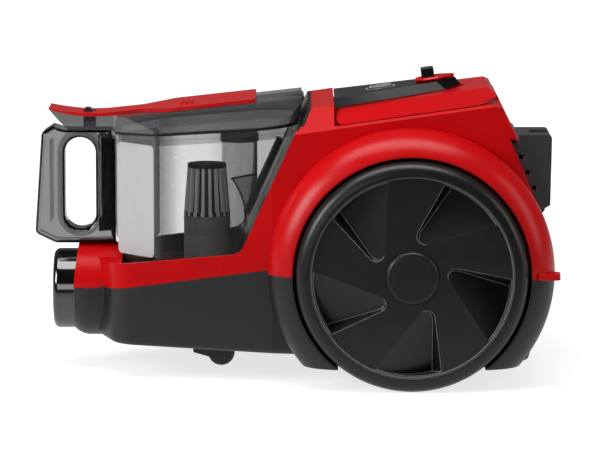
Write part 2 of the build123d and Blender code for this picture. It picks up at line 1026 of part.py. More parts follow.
hub_recess = hub_radius - wall
back_floor = disc_face - pocket_depth - wall
with BuildPart() as left_wheel_disc:
    with BuildSketch(wheel_level(disc_back)):
        Circle(rim_radius)
    extrude(amount=disc_face - disc_back)
    with BuildSketch(wheel_face):
        Circle(rim_radius)
        Circle(rim_radius - rim_lip, mode=Mode.SUBTRACT)
    extrude(amount=lip_height)
    with BuildSketch(wheel_level(disc_back)):
        Circle(rim_radius - 2 * wall)
        Circle(hub_boss, mode=Mode.SUBTRACT)
    extrude(amount=back_floor - disc_back, mode=Mode.SUBTRACT)
    with BuildSketch(wheel_level(wheel_inner)):
        Circle(hub_boss - wall)
    extrude(amount=disc_back - wheel_inner)
    with BuildSketch(wheel_level(hub_seat)):
        Circle(hub_recess)
    extrude(amount=disc_face, mode=Mode.SUBTRACT)
    with BuildSketch(wheel_level(wheel_inner)):
        Circle(axle_radius + running_gap)
    extrude(amount=disc_face - wheel_inner, mode=Mode.SUBTRACT)
    for step in range(pocket_count):
        turned = pocket.rotate(Axis((wheel_x, 0, axle_z), (0, 1, 0)), step * 360 / pocket_count)
        add(turned, mode=Mode.SUBTRACT)
save(left_wheel_disc.part, "left_wheel_disc")
save(left_wheel_disc.part.mirror(Plane.XZ), "right_wheel_disc")

with BuildPart() as left_tyre:
    with BuildSketch(wheel_level(wheel_inner)):
        Circle(wheel_radius)
        Circle(rim_radius + running_gap, mode=Mode.SUBTRACT)
    extrude(amount=wheel_outer - wheel_inner)
    rounds = left_tyre.edges().filter_by(GeomType.CIRCLE).filter_by(lambda e: e.radius > rim_radius + wall)
    fillet(rounds, radius=tyre_round)
save(left_tyre.part, "left_tyre")
save(left_tyre.part.mirror(Plane.XZ), "right_tyre")

with BuildPart() as left_hub_cap:
    with BuildSketch(wheel_level(disc_face + fit_gap)):
        Circle(hub_radius)
    extrude(amount=hub_face - disc_face - fit_gap)
    crown = left_hub_cap.faces().sort_by(Axis.Y)[0]
    fillet(crown.edges(), radius=hub_round)
    with BuildSketch(wheel_level(disc_face + fit_gap)):
        Circle(hub_recess - fit_gap)
        Circle(hub_recess - fit_gap - wall / 2, mode=Mode.SUBTRACT)
    extrude(amount=-wall)
save(left_hub_cap.part, "left_hub_cap")
save(left_hub_cap.part.mirror(Plane.XZ), "right_hub_cap")

# Stub axle with its plate, inner nut and outer retainer
plate_start = body_half + fit_gap
with BuildPart() as left_axle:
    with BuildSketch(wheel_level(axle_inner)):
        Circle(axle_radius)
    extrude(amount=axle_end - axle_inner)
    with BuildSketch(wheel_level(plate_start)):
        Circle(axle_plate)
    extrude(amount=axle_plate_thick)
    with BuildSketch(wheel_level(plate_start)):
        Circle(axle_shoulder)
    extrude(amount=wheel_inner - fit_gap - plate_start)
    nose_edge = left_axle.faces().sort_by(Axis.Y)[0].edges()
    chamfer(nose_edge, length=axle_chamfer)
save(left_axle.part, "left_axle")
save(left_axle.part.mirror(Plane.XZ), "right_axle")

with BuildPart() as left_retainer:
    with BuildSketch(wheel_level(hub_seat + fit_gap)):
        Circle(retainer_radius)
        Circle(axle_radius + running_gap, mode=Mode.SUBTRACT)
    extrude(amount=retainer_thick)
with BuildPart() as axle_retainers:
    add(left_retainer.part)
    add(left_retainer.part.mirror(Plane.XZ))
save(axle_retainers.part, "axle_retainers")

with BuildPart() as left_nut:
    with BuildSketch(wheel_level(body_half - wall - fit_gap)):
        Circle(washer_radius)
        Circle(axle_radius + running_gap, mode=Mode.SUBTRACT)
    extrude(amount=-washer_thick)
    with BuildSketch(wheel_level(body_half - wall - fit_gap - washer_thick)):
        RegularPolygon(nut_radius, 6)
        Circle(axle_radius + running_gap, mode=Mode.SUBTRACT)
    extrude(amount=-nut_thick)
with BuildPart() as axle_nuts:
    add(left_nut.part)
    add(left_nut.part.mirror(Plane.XZ))
save(axle_nuts.part, "axle_nuts")

# Front caster: cup, fork, roller and pin
with BuildPart() as caster_cup:
    with BuildSketch(Plane.XY.offset(cup_low_z)):
        with Locations((caster_x, 0)):
            Circle(cup_radius)
    extrude(amount=cup_top_z - cup_low_z)
    with BuildSketch(Plane.XY.offset(cup_top_z)):
        with Locations((caster_x, 0)):
            Circle(cup_boss)
    extrude(amount=stem_top_z - cup_top_z)
    with BuildSketch(Plane.XY.offset(cup_low_z)):
        with Locations((caster_x, 0)):
            Circle(cup_radius - cup_wall)
    extrude(amount=cup_top_z - cup_low_z - cup_wall, mode=Mode.SUBTRACT)
    with BuildSketch(Plane.XY.offset(cup_low_z)):
        with Locations((caster_x, 0)):
            Circle(stem_radius + running_gap)
    extrude(amount=span, mode=Mode.SUBTRACT)
    rim_edges = caster_cup.faces().sort_by(Axis.Z)[0].edges()
    fillet(rim_edges, radius=cup_wall / 3)
save(caster_cup.part, "caster_cup")

roller_x = caster_x + caster_trail
fork_top_z = cup_top_z - cup_wall - slide_gap
with BuildPart() as caster_fork:
    with BuildSketch(Plane.XY.offset(fork_plate_z)):
        with Locations((caster_x, 0)):
            Circle(fork_half)
        with Locations(((caster_x + roller_x) / 2, 0)):
            Rectangle(caster_trail, 2 * fork_half)
    extrude(amount=fork_top_z - fork_plate_z)
    with BuildSketch(Plane.XY.offset(fork_plate_z)):
        with Locations((caster_x, 0)):
            Circle(stem_radius)
    extrude(amount=stem_top_z - fork_plate_z)
    with BuildSketch(Plane.XZ):
        with BuildLine():
            Polyline(
                (caster_x - stem_radius, fork_top_z),
                (roller_x + fork_end, fork_top_z),
                (roller_x + fork_end, roller_radius),
                (roller_x, roller_radius - fork_end),
                (roller_x - fork_nose, fork_nose_z),
                close=True,
            )
        make_face()
        with Locations((roller_x, roller_radius)):
            Circle(fork_end)
    extrude(amount=fork_half, both=True)
    with BuildSketch(Plane.XZ):
        with Locations((roller_x, roller_radius)):
            Circle(roller_radius + 2 * slide_gap)
        with Locations((roller_x, roller_radius / 2)):
            Rectangle(3 * roller_radius, roller_radius)
        with Locations((caster_x + fork_end, roller_radius)):
            Rectangle(2 * roller_radius, 2 * roller_radius)
    extrude(amount=fork_half - fork_thick, both=True, mode=Mode.SUBTRACT)
    with BuildSketch(Plane.XZ):
        with Locations((roller_x, roller_radius)):
            Circle(roller_pin)
    extrude(amount=span, both=True, mode=Mode.SUBTRACT)
save(caster_fork.part, "caster_fork")

with BuildPart() as caster_roller:
    with BuildSketch(Plane.XZ):
        with Locations((roller_x, roller_radius)):
            Circle(roller_radius)
    extrude(amount=roller_half, both=True)
    fillet(caster_roller.edges().filter_by(GeomType.CIRCLE), radius=roller_radius / 5)
    with BuildSketch(Plane.XZ):
        with Locations((roller_x, roller_radius)):
            Circle(roller_pin + running_gap)
    extrude(amount=span, both=True, mode=Mode.SUBTRACT)
save(caster_roller.part, "caster_roller")

with BuildPart() as roller_axle:
    with BuildSketch(Plane.XZ):
        with Locations((roller_x, roller_radius)):
            Circle(roller_pin - running_gap / 5)
    extrude(amount=fork_half, both=True)
save(roller_axle.part, "roller_pin")

# Dust bin outline, shared by the bin, its rim, seal and lid
bin_rear_x = pillar_x(rim_z) + wall


def bin_plan(grow):
    """Bin outline in plan, grown evenly."""
    with BuildSketch(Plane.XY) as plan:
        with BuildLine():
            Polyline(
                *mirrored([
                    (bin_front_x, bin_front_half),
                    (bin_corner_x, bin_corner_half),
                    (bin_rear_x, bin_rear_half),
                ]),
                close=True,
            )
        make_face()
        fillet(plan.vertices().group_by(Axis.X)[-1], radius=bin_rear_round)
        fillet(plan.vertices().filter_by(lambda v: v.X < bin_corner_x + wall), radius=bin_corner_round)
        if grow:
            offset(amount=grow, kind=Kind.INTERSECTION)
    return plan.sketch


def bin_block(grow):
    """Bin as a tall solid with the slanted chin; it shrinks all round but grows only in plan."""
    tall = [
        (bin_front_x - max(grow, 0), span),
        (bin_front_x - max(grow, 0), bin_chin_z),
        (bin_chin_x, bin_floor_z),
        (well_x(bin_floor_z) - bin_pillar_gap, bin_floor_z),
        (well_x(span) - bin_pillar_gap, span),
    ]
    outline = bin_plan(grow)
    with BuildPart() as block:
        with BuildSketch(Plane.XZ):
            with BuildLine():
                Polyline(*tall, close=True)
            make_face()
            if grow < 0:
                offset(amount=grow, kind=Kind.INTERSECTION)
        extrude(amount=span, both=True)
        with BuildSketch(Plane.XY):
            add(outline)
        extrude(amount=span, mode=Mode.INTERSECT)
    return block.part


def rim_slab(low, high):
    """Slab along the sloping rim between two heights above it."""
    return side_block(
        [
            (-span, rim_height(-span) + low),
            (span, rim_height(span) + low),
            (span, rim_height(span) + high),
            (-span, rim_height(-span) + high),
        ],
        span,
    )


bin_outer = bin_block(0.0)
bin_inner = bin_block(-bin_wall)
bin_top = -seal_thick / 2
port_zone = bin_floor_z - wall

with BuildPart() as rim_band:
    add(bin_block(rim_flange))
    add(rim_slab(bin_top - rim_flange_height, bin_top), mode=Mode.INTERSECT)

with BuildPart() as bin_body:
    add(bin_outer)
    add(rim_slab(-span, bin_top), mode=Mode.INTERSECT)
    add(rim_band.part)
    add(bin_inner, mode=Mode.SUBTRACT)
    with BuildSketch(Plane.XY.offset(port_zone)):
        with Locations((port_x, 0)):
            Circle(duct_bore)
        with Locations((cone_x, 0)):
            Circle(outlet_radius)
    extrude(amount=3 * wall, mode=Mode.SUBTRACT)
    for side in (-1, 1):
        ear_mid = side * (hinge_half / 2 + hinge_ear / 2 + fit_gap)
        with BuildSketch(Plane.XZ.offset(-ear_mid - hinge_ear / 2)):
            with BuildLine():
                Polyline(
                    (hinge_x + hinge_knuckle, hinge_z),
                    (hinge_x - hinge_knuckle, hinge_z),
                    (bin_rear_x - bin_wall, rim_height(bin_rear_x) - wall),
                    (bin_rear_x - bin_wall / 3, rim_height(bin_rear_x) - wall),
                    close=True,
                )
            make_face()
            with Locations((hinge_x, hinge_z)):
                Circle(hinge_knuckle)
                Circle(hinge_pin, mode=Mode.SUBTRACT)
        extrude(amount=hinge_ear)
save(bin_body.part, "bin_body")

with BuildPart() as hinge_rod:
    with BuildSketch(Plane.XZ):
        with Locations((hinge_x, hinge_z)):
            Circle(hinge_pin - running_gap / 5)
    extrude(amount=hinge_half / 2 + hinge_ear + fit_gap, both=True)
save(hinge_rod.part, "hinge_pin")

with BuildPart() as lid_seal:
    add(bin_outer)
    add(rim_slab(bin_top, -bin_top), mode=Mode.INTERSECT)
    add(bin_block(-seal_width), mode=Mode.SUBTRACT)
    with BuildSketch(Plane.XY.offset(rim_z)):
        with Locations((bin_rear_x, 0)):
            Rectangle(10 * wall, hinge_half + 4 * hinge_ear)
    extrude(amount=10 * wall, mode=Mode.SUBTRACT)
save(lid_seal.part, "lid_seal")

# Bin lid: shell with sloping flanks, hinge knuckle and front chin
lid_direction = Vector(lid_rear_x - lid_front_x, 0, lid_rear_z - lid_front_z)
lid_cross = Plane(origin=(lid_front_x, 0, lid_front_z), x_dir=(0, 1, 0), z_dir=lid_direction)


def lid_block(grow, low):
    """Lid as a solid above a height over the rim, grown evenly on its outer faces."""
    flank = [
        (lid_top_half + lid_slope_width, -span),
        (lid_top_half + lid_slope_width, -lid_slope_drop),
        (lid_top_half, 0),
    ]
    rear_low = rim_height(bin_rear_x) - wall
    outline = bin_plan(rim_flange + grow)
    with BuildPart() as block:
        with BuildSketch(Plane.XZ) as profile:
            with BuildLine():
                Polyline(
                    (lid_front_x - wall, lid_height(lid_front_x - wall)),
                    (lid_rear_x, lid_rear_z),
                    (well_x(rear_low) - bin_pillar_gap, rear_low),
                    (well_x(rear_low) - bin_pillar_gap, -span),
                    (lid_front_x - wall, -span),
                    close=True,
                )
            make_face()
            peak = profile.vertices().sort_by_distance((lid_rear_x, lid_rear_z, 0))[0]
            fillet(peak, radius=lid_tip_round)
            if grow:
                offset(amount=grow, kind=Kind.INTERSECTION)
        extrude(amount=span, both=True)
        with BuildSketch(lid_cross):
            with BuildLine():
                Polyline(*crossed(flank), close=True)
            make_face()
            if grow:
                offset(amount=grow, kind=Kind.INTERSECTION)
        extrude(amount=span, both=True, mode=Mode.INTERSECT)
        with BuildSketch(Plane.XY):
            add(outline)
        extrude(amount=span, mode=Mode.INTERSECT)
        add(rim_slab(low, span), mode=Mode.INTERSECT)
    return block.part


lid_outer = lid_block(0.0, -bin_top)
lid_inner = lid_block(-lid_wall, -span / 2)
lid_tangent = (-lid_direction.X, -lid_direction.Z)
ear_half = hinge_half / 2 + hinge_ear + 2 * fit_gap
with BuildPart() as bin_lid:
    add(lid_outer)
    add(lid_inner, mode=Mode.SUBTRACT)
    with BuildSketch(Plane.XZ):
        with BuildLine():
            top_line = Line(
                (lid_front_x + wall, lid_height(lid_front_x + wall)),
                (lid_front_x, lid_front_z),
            )
            dip = TangentArc(top_line @ 1, (lip_x, lip_z - fit_gap), tangent=lid_tangent)
            throat = ThreePointArc(
                dip @ 1,
                (chin_front_x - throat_bulge, chin_low_z + throat_bulge),
                (chin_front_x, chin_low_z),
            )
            Polyline(
                throat @ 1,
                (lid_front_x, chin_low_z),
                (lid_front_x + wall, chin_low_z + wall),
                top_line @ 0,
            )
        make_face()
    extrude(amount=chin_half, both=True)
    with BuildSketch(Plane.XY.offset(chin_low_z + wall / 2)):
        with Locations((latch_x, 0)):
            Rectangle(latch_length + 2 * slide_gap, 2 * (latch_half + slide_gap))
    extrude(amount=span, mode=Mode.SUBTRACT)
    with BuildSketch(Plane.XZ):
        with BuildLine():
            Polyline(
                (bin_rear_x - 6 * wall, rim_z),
                (span, rim_z),
                (span, hinge_z + wall),
                (hinge_x, hinge_z + hinge_knuckle + fit_gap),
                (bin_rear_x - 4 * wall, hinge_z - 3 * wall),
                close=True,
            )
        make_face()
        with Locations((hinge_x, hinge_z)):
            Circle(hinge_knuckle + 2 * fit_gap)
    extrude(amount=ear_half, both=True, mode=Mode.SUBTRACT)
    with BuildSketch(Plane.XZ):
        with Locations((hinge_x, hinge_z)):
            Circle(hinge_knuckle)
        with BuildLine():
            Polyline(
                (hinge_x, hinge_z - hinge_knuckle),
                (hinge_x, hinge_z + hinge_knuckle),
                (hinge_x - 5 * wall, lid_height(hinge_x - 5 * wall)),
                (hinge_x - 5 * wall, lid_height(hinge_x - 5 * wall) - lid_wall),
                close=True,
            )
        make_face()
        with Locations((hinge_x, hinge_z)):
            Circle(hinge_pin + running_gap, mode=Mode.SUBTRACT)
    extrude(amount=hinge_half / 2 - fit_gap, both=True)
save(bin_lid.part, "bin_lid")

# Red lid plate with the thumb lip and grip bumps
with BuildPart() as lid_plate:
    with BuildSketch(Plane.XZ):
        with BuildLine():
            low_line = Line(
                (plate_rear_x, lid_height(plate_rear_x) + fit_gap),
                (lid_front_x, lid_front_z + fit_gap),
            )
            low_dip = TangentArc(low_line @ 1, (lip_x, lip_z), tangent=lid_tangent)
            high_line = Line(
                (plate_rear_x, lid_height(plate_rear_x) + fit_gap + plate_thick),
                (lid_front_x, lid_front_z + fit_gap + plate_thick),
            )
            high_dip = TangentArc(high_line @ 1, (lip_x, lip_z + plate_thick / 2), tangent=lid_tangent)
            Line(low_line @ 0, high_line @ 0)
            Line(low_dip @ 1, high_dip @ 1)
        make_face()
    extrude(amount=span, both=True)
    with BuildSketch(Plane.XY) as plate_plan:
        with BuildLine():
            Polyline(
                *mirrored([
                    (lip_x - wall, lip_half),
                    (chin_front_x, lip_half + wall),
                    (plate_neck_x - 8 * wall, plate_neck_half),
                    (plate_neck_x, plate_half),
                    (plate_rear_x + wall, plate_half),
                ]),
                close=True,
            )
        make_face()
        fillet(plate_plan.vertices(), radius=2 * wall)
    extrude(amount=span, mode=Mode.INTERSECT)
    with BuildSketch(Plane.XY):
        with Locations((latch_x, 0)):
            Rectangle(latch_length + 2 * slide_gap, 2 * (latch_half + slide_gap))
    extrude(amount=span, mode=Mode.SUBTRACT)
    with BuildSketch(Plane.XZ):
        for step in range(bump_count):
            spot = bump_x + step * bump_pitch
            with Locations((spot, lid_height(spot) + fit_gap + plate_thick)):
                Circle(bump_radius)
    extrude(amount=bump_half, both=True)
    add(lid_outer, mode=Mode.SUBTRACT)
save(lid_plate.part, "lid_plate")

with BuildPart() as latch_button:
    with BuildSketch(Plane.XZ) as latch_side:
        with BuildLine():
            Polyline(
                (latch_x - latch_length / 2, latch_low_z),
                (latch_x + latch_length / 2, latch_low_z),
                (latch_x + latch_length / 2, latch_top_z - latch_slope),
                (latch_x, latch_top_z),
                (latch_x - latch_length / 2, latch_top_z),
                close=True,
            )
        make_face()
        fillet(latch_side.vertices().group_by(Axis.Y)[-1], radius=latch_round)
    extrude(amount=latch_half, both=True)
save(latch_button.part, "latch_button")

# Bin handle with its spine
handle_face_x = bin_front_x - fit_gap
handle_top_z = chin_low_z - slide_gap
slot_mid_z = (grip_slot_low_z + grip_slot_top_z) / 2
slot_height = grip_slot_top_z - grip_slot_low_z
slot_width = grip_slot_end_x - grip_slot_x
with BuildPart() as bin_handle:
    with BuildSketch(Plane.XZ) as loop:
        with BuildLine():
            Polyline(
                (handle_face_x, grip_low_z),
                (grip_corner_x, grip_low_z),
                (grip_left_x, grip_corner_z),
                (grip_shoulder_x, grip_shoulder_z),
                (chin_front_x - 4 * wall, handle_top_z + wall),
                (chin_front_x - wall, handle_top_z),
                (handle_face_x - rim_flange - fit_gap, handle_top_z),
                (handle_face_x - rim_flange - fit_gap, rim_height(bin_front_x) - 2 * rim_flange_height),
                (handle_face_x, rim_height(bin_front_x) - 2 * rim_flange_height),
                close=True,
            )
        make_face()
        outer_corners = loop.vertices().filter_by(lambda v: v.X < grip_shoulder_x + wall)
        fillet(outer_corners, radius=grip_round)
        with Locations(((grip_slot_x + grip_slot_end_x) / 2, slot_mid_z)):
            SlotOverall(slot_height, slot_width, rotation=90, mode=Mode.SUBTRACT)
    extrude(amount=grip_half, both=True)
    edge_lines = bin_handle.edges().filter_by(lambda e: abs(abs(e.center().Y) - grip_half) < fit_gap)
    soft_lines = edge_lines.filter_by(lambda e: e.center().X < handle_face_x - grip_round)
    fillet(soft_lines.filter_by(lambda e: e.center().Z < handle_top_z - 2 * wall), radius=grip_edge_round)
    with BuildSketch(Plane.XZ):
        with Locations((handle_face_x - spine_thick / 2, slot_mid_z)):
            Rectangle(spine_thick, slot_height - 2 * fit_gap)
    extrude(amount=spine_half + fit_gap, both=True, mode=Mode.SUBTRACT)
save(bin_handle.part, "bin_handle")

with BuildPart() as handle_spine:
    with BuildSketch(Plane.XZ):
        with Locations((handle_face_x - spine_thick / 2 + fit_gap / 2, slot_mid_z)):
            Rectangle(spine_thick - fit_gap, slot_height - 4 * fit_gap)
    extrude(amount=spine_half, both=True)
save(handle_spine.part, "handle_spine")

# Bare label panels on the slanted front faces of the bin
facet_run = Vector(bin_corner_x - bin_front_x, bin_corner_half - bin_front_half, 0)
facet_mid = ((bin_front_x + bin_corner_x) / 2, (bin_front_half + bin_corner_half) / 2)
label_width = facet_run.length - 2 * label_side
facet_plane = Plane(
    origin=(facet_mid[0], -facet_mid[1], (label_low_z + label_top_z) / 2),
    x_dir=(facet_run.X, -facet_run.Y, 0),
    z_dir=(-facet_run.Y, -facet_run.X, 0),
)
with BuildPart() as left_label:
    with BuildSketch(facet_plane):
        RectangleRounded(label_width, label_top_z - label_low_z, label_margin)
    extrude(amount=label_thick)
with BuildPart() as label_panels:
    add(left_label.part)
    add(left_label.part.mirror(Plane.XZ))
save(label_panels.part, "label_panels")

# Cone filter on its pedestal, riser tube and deflector vane
cone_axis = Axis((cone_x, 0, 0), (0, 0, 1))
bin_inside_z = bin_floor_z + bin_wall
bin_clear = bin_block(-bin_wall - fit_gap)
with BuildPart() as cone_filter:
    with BuildSketch(Plane.XZ):
        with BuildLine():
            Polyline(
                (cone_x, cone_low_z),
                (cone_x + cone_low_radius - rib_depth, cone_low_z),
                (cone_x + cone_top_radius - rib_depth, cone_top_z - cone_cap),
                (cone_x, cone_top_z - cone_cap),
                close=True,
            )
        make_face()
    revolve(axis=cone_axis)
    with BuildSketch(Plane.XY.offset(cone_top_z - cone_cap)):
        with Locations((cone_x, 0)):
            Circle(cone_top_radius)
    extrude(amount=cone_cap)
    with BuildSketch(Plane.XY.offset(cone_low_z)):
        with Locations((cone_x, 0)):
            Circle(cone_low_radius)
    extrude(amount=cone_cap)
    for step in range(cone_ribs):
        turn = radians(step * 360 / cone_ribs)
        rib_plane = Plane(
            origin=(cone_x, 0, 0),
            x_dir=(cos(turn), sin(turn), 0),
            z_dir=(sin(turn), -cos(turn), 0),
        )
        with BuildSketch(rib_plane):
            with BuildLine():
                Polyline(
                    (cone_top_radius / 2, cone_low_z),
                    (cone_low_radius, cone_low_z),
                    (cone_top_radius, cone_top_z),
                    (cone_top_radius / 2, cone_top_z),
                    close=True,
                )
            make_face()
        extrude(amount=rib_thick / 2, both=True)
    with BuildSketch(Plane.XY.offset(cone_low_z)):
        with Locations((cone_x, 0)):
            Circle(outlet_radius - wall)
    extrude(amount=cone_top_z - cone_low_z - 2 * cone_cap, mode=Mode.SUBTRACT)
save(cone_filter.part, "cone_filter")

with BuildPart() as filter_ring:
    with BuildSketch(Plane.XY.offset(pedestal_ring_z + fit_gap)):
        with Locations((cone_x, 0)):
            Circle(pedestal_radius)
            Circle(pedestal_radius - pedestal_wall, mode=Mode.SUBTRACT)
    extrude(amount=cone_low_z - pedestal_ring_z - 2 * fit_gap)
save(filter_ring.part, "filter_ring")

with BuildPart() as filter_pedestal:
    with BuildSketch(Plane.XY.offset(bin_inside_z)):
        with Locations((cone_x, 0)):
            Circle(pedestal_radius)
            Circle(pedestal_radius - pedestal_wall, mode=Mode.SUBTRACT)
    extrude(amount=pedestal_ring_z - bin_inside_z)
    add(bin_clear, mode=Mode.INTERSECT)
save(filter_pedestal.part, "filter_pedestal")

with BuildPart() as riser_tube:
    with BuildSketch(Plane.XY.offset(bin_inside_z)):
        with Locations((riser_x, riser_y)):
            Circle(riser_radius)
            Circle(riser_radius - riser_wall, mode=Mode.SUBTRACT)
    extrude(amount=riser_top_z - bin_inside_z)
    add(bin_clear, mode=Mode.INTERSECT)
save(riser_tube.part, "riser_tube")

with BuildPart() as riser_cap:
    with BuildSketch(Plane.XY.offset(riser_top_z + fit_gap)):
        with Locations((riser_x, riser_y)):
            Circle(riser_cap_radius)
    extrude(amount=riser_cap_height)
    fillet(riser_cap.faces().sort_by(Axis.Z)[-1].edges(), radius=riser_wall)
save(riser_cap.part, "riser_cap")

with BuildPart() as deflector_vane:
    with BuildSketch(Plane.XZ.offset(riser_radius + fit_gap - riser_y)):
        with BuildLine():
            vane_back = Polyline(
                (vane_tip_x, vane_tip_z),
                (vane_far_x, vane_far_z),
                (vane_near_x, vane_near_z),
            )
            ThreePointArc(vane_back @ 1, (vane_bend_x, vane_bend_z), vane_back @ 0)
        make_face()
    extrude(amount=vane_thick)
save(deflector_vane.part, "deflector_vane")

# Control panel on the spine, with button and slider
button_hole = button_radius + fit_gap
slot_start = knob_along - knob_forward - knob_stem_half - slide_gap
slot_end = knob_along + knob_back + knob_stem_half + slide_gap
with BuildPart() as control_panel:
    with BuildSketch(deck.offset(panel_base + fit_gap)):
        with BuildLine():
            Polyline(
                *mirrored([(panel_front, panel_half), (panel_length, panel_waist), (panel_tip, 0)]),
                close=True,
            )
        make_face()
    with BuildSketch(deck.offset(panel_base + fit_gap + panel_height)):
        with BuildLine():
            Polyline(
                *mirrored([
                    (panel_front, panel_top_half),
                    (panel_top_length, panel_top_waist),
                    (panel_top_tip, 0),
                ]),
                close=True,
            )
        make_face()
    loft(ruled=True)
    with BuildSketch(deck):
        with Locations((button_along, 0)):
            Circle(button_hole)
        with Locations(((slot_start + slot_end) / 2, 0)):
            Rectangle(slot_end - slot_start, 2 * (knob_stem_half + slide_gap))
    extrude(amount=span, mode=Mode.SUBTRACT)
save(control_panel.part, "control_panel")

panel_top = panel_base + fit_gap + panel_height
with BuildPart() as slider_pod:
    with BuildSketch(deck.offset(panel_top + fit_gap)) as pod_sketch:
        with BuildLine():
            Polyline(
                *mirrored([
                    (pod_start, pod_half / 3),
                    (pod_start + pod_half / 2, pod_half),
                    (pod_end - pod_half, pod_half),
                    (pod_end, pod_half / 6),
                ]),
                close=True,
            )
        make_face()
        fillet(pod_sketch.vertices(), radius=pod_round)
    extrude(amount=pod_height)
    pod_crown = slider_pod.faces().sort_by(Axis.Z)[-1]
    chamfer(pod_crown.edges(), length=pod_chamfer)
    with BuildSketch(deck):
        with Locations(((slot_start + slot_end) / 2, 0)):
            Rectangle(slot_end - slot_start, 2 * (knob_stem_half + slide_gap))
    extrude(amount=span, mode=Mode.SUBTRACT)
save(slider_pod.part, "slider_pod")

pod_top = panel_top + fit_gap + pod_height
with BuildPart() as suction_slider:
    with BuildSketch(deck.offset(pod_top + fit_gap)):
        with Locations((knob_along, 0)):
            Rectangle(knob_length, 2 * knob_half)
    extrude(amount=knob_height)
    knob_middle = pod_top + knob_height / 2
    knob_top = suction_slider.edges().filter_by(lambda e: deck.to_local_coords(e.center()).Z > knob_middle)
    fillet(knob_top, radius=knob_round)
    with BuildSketch(deck.offset(panel_base + 2 * fit_gap)):
        with Locations((knob_along, 0)):
            Rectangle(2 * knob_stem_half, 2 * knob_stem_half)
    extrude(amount=pod_top - panel_base)
    with BuildSketch(deck_side):
        for step in range(knob_ridges):
            ridge_along = knob_along + (step - (knob_ridges - 1) / 2) * ridge_pitch
            with Locations((ridge_along, pod_top + fit_gap + knob_height)):
                Rectangle(ridge_width, 2 * ridge_depth)
    extrude(amount=span, both=True, mode=Mode.SUBTRACT)
save(suction_slider.part, "suction_slider")

stem_low = panel_base - spine_wall - button_travel / 5
with BuildPart() as power_button:
    with BuildSketch(deck.offset(panel_top + button_proud - button_cap)):
        with Locations((button_along, 0)):
            Circle(button_radius)
    extrude(amount=button_cap)
    button_rim = power_button.edges().filter_by(lambda e: deck.to_local_coords(e.center()).Z > panel_top)
    fillet(button_rim, radius=button_round)
    with BuildSketch(deck.offset(stem_low)):
        with Locations((button_along, 0)):
            Circle(button_stem)
    extrude(amount=panel_top - stem_low)
save(power_button.part, "power_button")

# Carry handle that folds up about its front pins
arm_inner_cut = [
    (-3 * wall, arm_inner),
    (arm_straight, arm_inner),
    (grip_start, grip_inner),
    (grip_notch, 0),
]
with BuildPart() as carry_handle:
    with BuildSketch(deck_cross.offset(-wall)):
        with BuildLine():
            Polyline(*crossed([(arm_foot_half, 0), (shoulder_half, arm_height)]), close=True)
        make_face()
    with BuildSketch(deck_cross.offset(grip_tip + wall)):
        with BuildLine():
            Polyline(*crossed([(arm_foot_half, 0), (grip_top_half, arm_height)]), close=True)
        make_face()
    loft(ruled=True)
    with BuildSketch(deck_side) as arm_sketch:
        with BuildLine():
            Polyline(
                (pivot_along, slide_gap),
                (grip_step, slide_gap),
                (grip_step, grip_tip_height),
                (grip_tip, grip_tip_height),
                (grip_peak, arm_height),
                (pivot_along, arm_height),
                close=True,
            )
        make_face()
        with Locations((pivot_along, (arm_height + slide_gap) / 2)):
            Circle((arm_height - slide_gap) / 2)
        tip_corner = arm_sketch.vertices().sort_by_distance((grip_tip, grip_tip_height, 0))[0]
        fillet(tip_corner, radius=grip_tip_round)
        peak_corner = arm_sketch.vertices().sort_by_distance((grip_peak, arm_height, 0))[0]
        fillet(peak_corner, radius=grip_peak_round)
    extrude(amount=span, both=True, mode=Mode.INTERSECT)
    with BuildSketch(deck):
        with BuildLine():
            flank = Polyline((grip_tip + wall, 0), (-wall, 0), (-wall, body_half), (grip_sweep, body_half))
            sweep_round = TangentArc(flank @ 1, (grip_tip + wall, grip_tail_half), tangent=(1, 0))
            Line(sweep_round @ 1, flank @ 0)
        make_face()
        mirror(about=Plane.XZ)
    extrude(amount=span / 4, both=True, mode=Mode.INTERSECT)
    with BuildSketch(deck):
        with BuildLine():
            Polyline(*mirrored(arm_inner_cut), close=True)
        make_face()
    extrude(amount=span, both=True, mode=Mode.SUBTRACT)
    with BuildSketch(deck_side):
        with Locations((pivot_along, (arm_height + slide_gap) / 2)):
            Circle(pivot_radius + running_gap)
    extrude(amount=pivot_outer + fit_gap, both=True, mode=Mode.SUBTRACT)
save(carry_handle.part, "carry_handle")

with BuildPart() as handle_pivots:
    for side in (-1, 1):
        with BuildSketch(deck_side.offset(side * pivot_inner)):
            with Locations((pivot_along, (arm_height + slide_gap) / 2)):
                Circle(pivot_radius)
        extrude(amount=side * (pivot_outer - pivot_inner))
save(handle_pivots.part, "handle_pivots")

